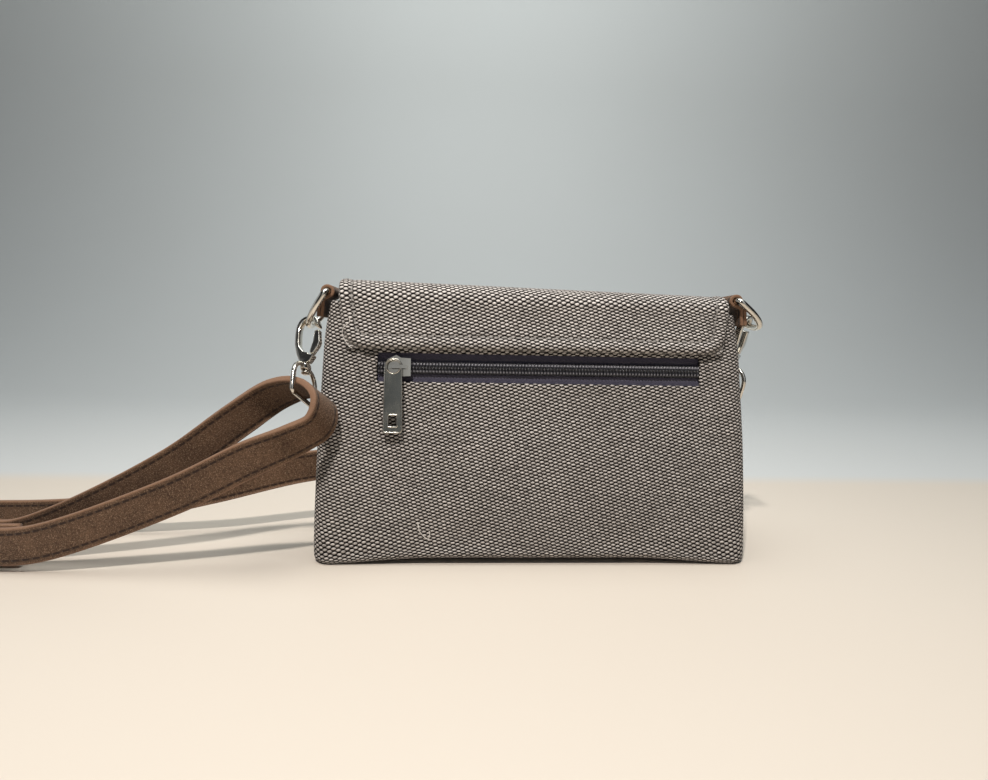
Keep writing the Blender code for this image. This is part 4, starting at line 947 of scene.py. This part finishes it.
HINGES = {"left": ((-0.09810, 0.0, 0.12694), (0.54464, 0.0, 0.83867)),
          "right": ((0.09730, 0.0, 0.12628), (-0.76604, 0.0, 0.64279))}
for name, (middle, up) in HINGES.items():
    mesh = tube(name + "_d_ring", placed(d_ring_line(), middle, (0.0, 1.0, 0.0), up), 0.0015, 20)
    show(name + "_d_ring_wire", mesh, nickel, replaces=(name + "_d_ring",))


# Trigger clasps. A die-cast, plated hook with rounded edges closes with a sprung gate that turns
# on a pin in its base; a swivel pin under it carries the strap's ring by a barrel-shaped boss.

HOOK_OUTLINE = np.array([
    (6.25, -2.68), (5.99, -0.65), (5.49, 1.01), (4.78, 2.36), (3.86, 3.41), (2.73, 4.13), (1.34, 4.52),
    (-0.75, 4.58), (-2.28, 4.3), (-3.49, 3.69), (-4.49, 2.76), (-5.27, 1.52), (-5.84, -0.03), (-6.18, -1.92),
    (-6.3, -4.58), (-6.11, -10.19), (-4.54, -16.31), (-2.27, -20.9), (2.27, -20.9), (4.54, -17.29),
    (4.03, -17.06), (3.45, -17.27), (2.85, -17.27), (2.27, -17.06), (1.81, -16.67), (1.51, -16.14),
    (1.4, -15.54), (-0.63, -15.2), (-3.61, -11.21), (-4.1, -4.58), (-4.0, -2.19), (-3.72, -0.51),
    (-3.24, 0.82), (-2.59, 1.84), (-1.77, 2.52), (-0.72, 2.86), (0.8, 2.85), (1.83, 2.49), (2.64, 1.78),
    (3.28, 0.74), (3.74, -0.61), (4.02, -2.31)]) / 1000
GATE_OUTLINE = np.array([
    (6.24, -4.38), (6.43, -6.93), (6.93, -11.01), (6.17, -13.3), (4.28, -15.74), (4.11, -16.18),
    (3.78, -16.51), (3.35, -16.68), (2.88, -16.66), (2.46, -16.47), (2.15, -16.12), (1.89, -15.2),
    (3.28, -9.99), (3.78, -4.38)]) / 1000


def cast(name, outline, thickness, edge, frame_axes, count=220, rounds=5):
    """A flat casting with round edges: the outline is drawn in by edge (1 - cos) while it rises to
    the face by edge sin, on both faces, and each face is closed. Where the outline turns more
    sharply than the edge is round, it is drawn in by less, so that it never crosses itself."""
    p = softened(spread(outline, count), rounds)
    ahead = np.roll(p, -1, 0) - np.roll(p, 1, 0)
    ahead /= np.linalg.norm(ahead, axis=1)[:, None]
    area = 0.5 * np.sum(p[:, 0] * np.roll(p[:, 1], -1) - np.roll(p[:, 0], -1) * p[:, 1])
    inward = np.stack([-ahead[:, 1], ahead[:, 0]], -1) * np.sign(area)
    heading = np.arctan2(ahead[:, 1], ahead[:, 0])
    bend = (np.roll(heading, -1) - np.roll(heading, 1) + pi) % (2 * pi) - pi
    spacing = np.linalg.norm(np.roll(p, -1, 0) - np.roll(p, 1, 0), axis=1)
    room = np.minimum(edge, 0.7 * spacing / np.maximum(bend * np.sign(area), 1e-6))
    room = np.min([np.roll(room, k) for k in range(-5, 6)], axis=0)
    room = np.mean([np.roll(room, k) for k in range(-4, 5)], axis=0)[:, None]
    rings = []
    for a in np.radians(np.linspace(-90, 90, 11)):
        level = np.sign(a) * (thickness / 2 - edge) + edge * np.sin(a)
        q = p + inward * room * (1 - np.cos(a))
        rings.append(np.concatenate([q, np.full((len(q), 1), level)], 1))
    m = grid_mesh(name, placed(np.array(rings), *frame_axes), True)
    add_faces(m, end_faces(len(rings), count), (0.0, 0.0))
    return turned_out(m)


def lathed(profile, frame_axes, sides, flat=1.0):
    """Rings about the frame's y axis: a circle for each pair (radius, height) of the profile,
    pressed flatter through the frame's depth."""
    r, h = profile[:, :1], np.repeat(profile[:, 1:], sides, 1)
    a = np.linspace(0, 2 * pi, sides, endpoint=False)
    rings = np.stack([r * np.cos(a), h, flat * r * np.sin(a)], -1)
    return grid_mesh("lathed", placed(rings, *frame_axes), True)


PIN_PROFILE = np.array([
    (0.9, -20.4), (1.0, -20.8), (1.0, -24.9), (1.6, -25.1), (1.9, -25.4), (1.9, -26.0),
    (1.4, -26.3)]) / 1000
CLASPS = {  # origin, x axis, y axis
    "left": ((-0.10834, -0.00174, 0.11117), (0.95643, -0.21142, 0.20135),
             (-0.06985, 0.50394, 0.86091)),
    "right": ((0.10947, 0.00643, 0.11607), (0.75877, 0.63435, 0.14788),
              (0.07480, -0.31039, 0.94766))}
for name, axes in CLASPS.items():
    hook_body = cast(name + "_hook", HOOK_OUTLINE, 0.0033, 0.0006, axes)
    pin = lathed(PIN_PROFILE, axes, 24)
    add_faces(pin, end_faces(len(PIN_PROFILE), 24), (0.0, 0.0))
    show(name + "_hook_cast", joined(name + "_hook", [hook_body, turned_out(pin)]), nickel,
         body=name + "_clasp", replaces=(name + "_hook",))
    gate = cast(name + "_gate", GATE_OUTLINE, 0.00264, 0.0005, axes, 160, 3)
    show(name + "_gate_lever", gate, nickel, body=name + "_clasp_gate",
         replaces=(name + "_gate",))

RING_OUTLINE = np.array([
    (3.1, -1.8), (5.32, -2.15), (7.33, -3.18), (8.92, -4.77), (9.95, -6.78), (10.3, -9.0),
    (10.3, -16.0), (10.16, -16.69), (9.77, -17.27), (9.19, -17.66), (8.5, -17.8)]) / 1000
RING_OUTLINE = np.concatenate([RING_OUTLINE, RING_OUTLINE[::-1] * (-1, 1)])
BOSS_PROFILE = np.array([
    (1.3, -0.05), (2.5, -0.1), (3.1, -0.6), (3.3, -1.4), (3.3, -2.2), (3.1, -3.0), (2.5, -3.5),
    (1.3, -3.6), (1.3, -0.05)]) / 1000
SWIVELS = {  # origin, x axis, y axis
    "left": ((-0.10686, -0.01242, 0.09292), (0.17253, 0.85612, -0.48713),
             (-0.06985, 0.50394, 0.86091)),
    "right": ((0.10789, 0.01301, 0.09598), (-0.38106, 0.86930, 0.31481),
              (0.07480, -0.31039, 0.94766))}
for name, axes in SWIVELS.items():
    wire_line = softened(spread(RING_OUTLINE, 150, False), 3, False)
    wire = tube(name + "_ring", placed(wire_line, *axes), 0.00105, 16, closed=False)
    boss = turned_out(lathed(BOSS_PROFILE, axes, 32, 0.667))
    show(name + "_swivel_ring_wire", joined(name + "_swivel", [wire, boss]), nickel,
         replaces=(name + "_swivel_ring",))


# Strap. Two layers of brown sueded leather are sewn back to back into a band 17 mm wide and 3 mm
# thick, folded round the slide and the left clasp's ring, and sewn round the right clasp's ring.

UPRIGHT, ON_RING = (0.0, 0.0, -1.0), (-0.381, 0.869, 0.315)
STRAP_ROUTE = np.array([
    # place in mm, way of the width
    (-231.7, -22.4, 11.5, *UPRIGHT), (-241.7, -22.6, 11.5, *UPRIGHT),
    (-249.7, -23.06, 11.5, *UPRIGHT), (-251.86, -22.16, 11.5, *UPRIGHT),
    (-252.76, -20.0, 11.5, *UPRIGHT), (-251.86, -17.84, 11.5, *UPRIGHT),
    (-249.7, -16.94, 11.5, *UPRIGHT), (-239.7, -16.6, 11.5, *UPRIGHT),
    (-216.7, -15.5, 19.5, 0.100, 0.100, -0.980), (-166.61, -14.39, 46.1, 0.360, 0.160, -0.920),
    (-138.61, -13.39, 66.6, 0.340, 0.360, -0.870), (-118.61, -15.39, 79.6, 0.340, 0.620, -0.720),
    (-104.61, -19.39, 82.6, 0.173, 0.856, -0.487), (-95.61, -24.79, 76.6, 0.340, 0.780, -0.500),
    (-96.61, -27.79, 67.6, 0.380, 0.720, -0.550), (-107.61, -27.99, 60.6, 0.420, 0.550, -0.720),
    (-127.61, -28.19, 51.6, 0.440, 0.260, -0.860), (-160.61, -28.39, 35.1, 0.400, 0.200, -0.900),
    (-219.7, -28.5, 13.5, 0.100, 0.050, -0.990), (-241.7, -27.4, 11.5, *UPRIGHT),
    (-250.7, -27.0, 11.5, *UPRIGHT), (-258.2, -22.4, 11.5, *UPRIGHT),
    (-262.5, -17.6, 11.5, *UPRIGHT), (-266.9, -17.2, 11.5, *UPRIGHT),
    (-272.5, -19.9, 11.5, *UPRIGHT), (-277.2, -22.6, 11.5, *UPRIGHT),
    (-280.7, -23.06, 11.5, *UPRIGHT), (-291.7, -23.06, 10.5, *UPRIGHT),
    (-324.7, -22.0, 8.8, *UPRIGHT), (-347.7, -12.0, 8.8, *UPRIGHT),
    (-352.7, 7.0, 8.8, *UPRIGHT), (-334.7, 21.0, 8.8, *UPRIGHT),
    (-284.7, 19.0, 8.8, *UPRIGHT), (-229.7, 17.0, 11.8, 0.040, 0.000, -1.000),
    (-168.7, 18.0, 24.8, 0.160, 0.040, -0.980), (-116.7, 29.8, 34.8, 0.160, 0.060, -0.980),
    (-62.82, 35.8, 35.8, 0.080, 0.040, -1.000), (0.0, 38.8, 28.8, *UPRIGHT),
    (41.88, 39.3, 32.8, 0.120, 0.020, -0.990), (73.29, 38.8, 40.8, 0.350, 0.120, -0.930),
    (97.37, 33.8, 51.8, 0.200, 0.650, -0.700), (108.31, 24.73, 64.12, *ON_RING),
    (108.69, 21.47, 73.58, *ON_RING), (109.32, 19.69, 79.27, *ON_RING),
    (108.67, 18.69, 81.24, *ON_RING), (106.78, 17.6, 81.96, *ON_RING),
    (104.76, 17.06, 81.01, *ON_RING), (103.79, 17.38, 78.95, *ON_RING),
    (104.63, 19.78, 73.34, *ON_RING),
    (104.25, 23.04, 63.89, *ON_RING)])


def smooth_route(points, step):
    """A centripetal Catmull-Rom line through the points, with the row number at each sample."""
    p = np.vstack([2 * points[0] - points[1], points, 2 * points[-1] - points[-2]])
    line, where = [], []
    for i in range(1, len(p) - 2):
        a, b, c, d = p[i - 1:i + 3]
        t = np.cumsum([0.0] + [np.linalg.norm(v) ** 0.5 for v in (b - a, c - b, d - c)])
        count = max(3, int(round(np.linalg.norm(c - b) / step)))
        s = (t[1] + (t[2] - t[1]) * np.arange(count) / count)[:, None]
        a1 = ((t[1] - s) * a + (s - t[0]) * b) / (t[1] - t[0])
        a2 = ((t[2] - s) * b + (s - t[1]) * c) / (t[2] - t[1])
        a3 = ((t[3] - s) * c + (s - t[2]) * d) / (t[3] - t[2])
        b1 = ((t[2] - s) * a1 + (s - t[0]) * a2) / (t[2] - t[0])
        b2 = ((t[3] - s) * a2 + (s - t[1]) * a3) / (t[3] - t[1])
        line.append(((t[2] - s) * b1 + (s - t[1]) * b2) / (t[2] - t[1]))
        where.append(i - 1 + np.arange(count) / count)
    return np.concatenate(line + [p[-2:-1]]), np.concatenate(where + [[len(points) - 1.0]])


strap_line, strap_row = smooth_route(STRAP_ROUTE[:, :3] / 1000, 0.0025)
strap_way = np.stack([np.interp(strap_row, np.arange(len(STRAP_ROUTE)), STRAP_ROUTE[:, k])
                      for k in (3, 4, 5)], -1)
strap_leather = leather_paint("strap_leather", 0.0084, 0.0024)
strap_mesh = band_mesh("strap", strap_line, strap_way, 0.0170, 0.0030, 0.0007)
show("strap_leather_band", strap_mesh, strap_leather, replaces=("strap",))


# Slide. A three-bar frame, cast in metal and plated, through which the strap's end is folded back
# to set its length. It lies beside the bag and is kept plain.

dress("strap_slide", nickel)


# Loose threads. A pale cotton thread has pulled out along the flap's left corner, and another one
# has been drawn out of the weave low on the back and hangs as a small loop.

thread_paint, p, shader = new_material("loose_thread", roughness=0.9, sheen_weight=0.2)
twist = p.place().noise(2500.0, 2.0)
thread_tone = twist.ease(0.3, 0.7).mix((0.40, 0.37, 0.34), (0.68, 0.64, 0.60))
finish_material(thread_paint, shader, base_color=thread_tone, normal=twist.bump(0.0001, 0.6))


def back_face(x, z, lift):
    """Points just off the back of the pouch."""
    return np.stack([x, -pouch_half(z, 2) - swelling(x, z) - lift, z + tilt(x, z)], -1)


PULLED_LOOP = np.array([  # across, up, off the cloth, in tenths of a millimetre
    (-545, 205, 1), (-539, 180, 8), (-532, 160, 9), (-518, 146, 10), (-508, 136, 11),
    (-497, 128, 10), (-490, 138, 11), (-488, 152, 8), (-492, 166, 1)]) / 10000
CORNER_THREAD = np.array([
    (-868, 1145, 28), (-862, 1120, 31), (-896, 1092, 31), (-899, 1062, 22), (-884, 1032, 22),
    (-864, 1010, 28), (-850, 1003, 27)]) / 10000
threads = []
for places, radius in ((PULLED_LOOP, 0.00020), (CORNER_THREAD, 0.00018)):
    line = softened(spread(back_face(*places.T), 60, False), 8, False)
    threads.append(tube("thread", line, radius, 7, False))
show("loose_threads", joined("loose_threads", threads), thread_paint)
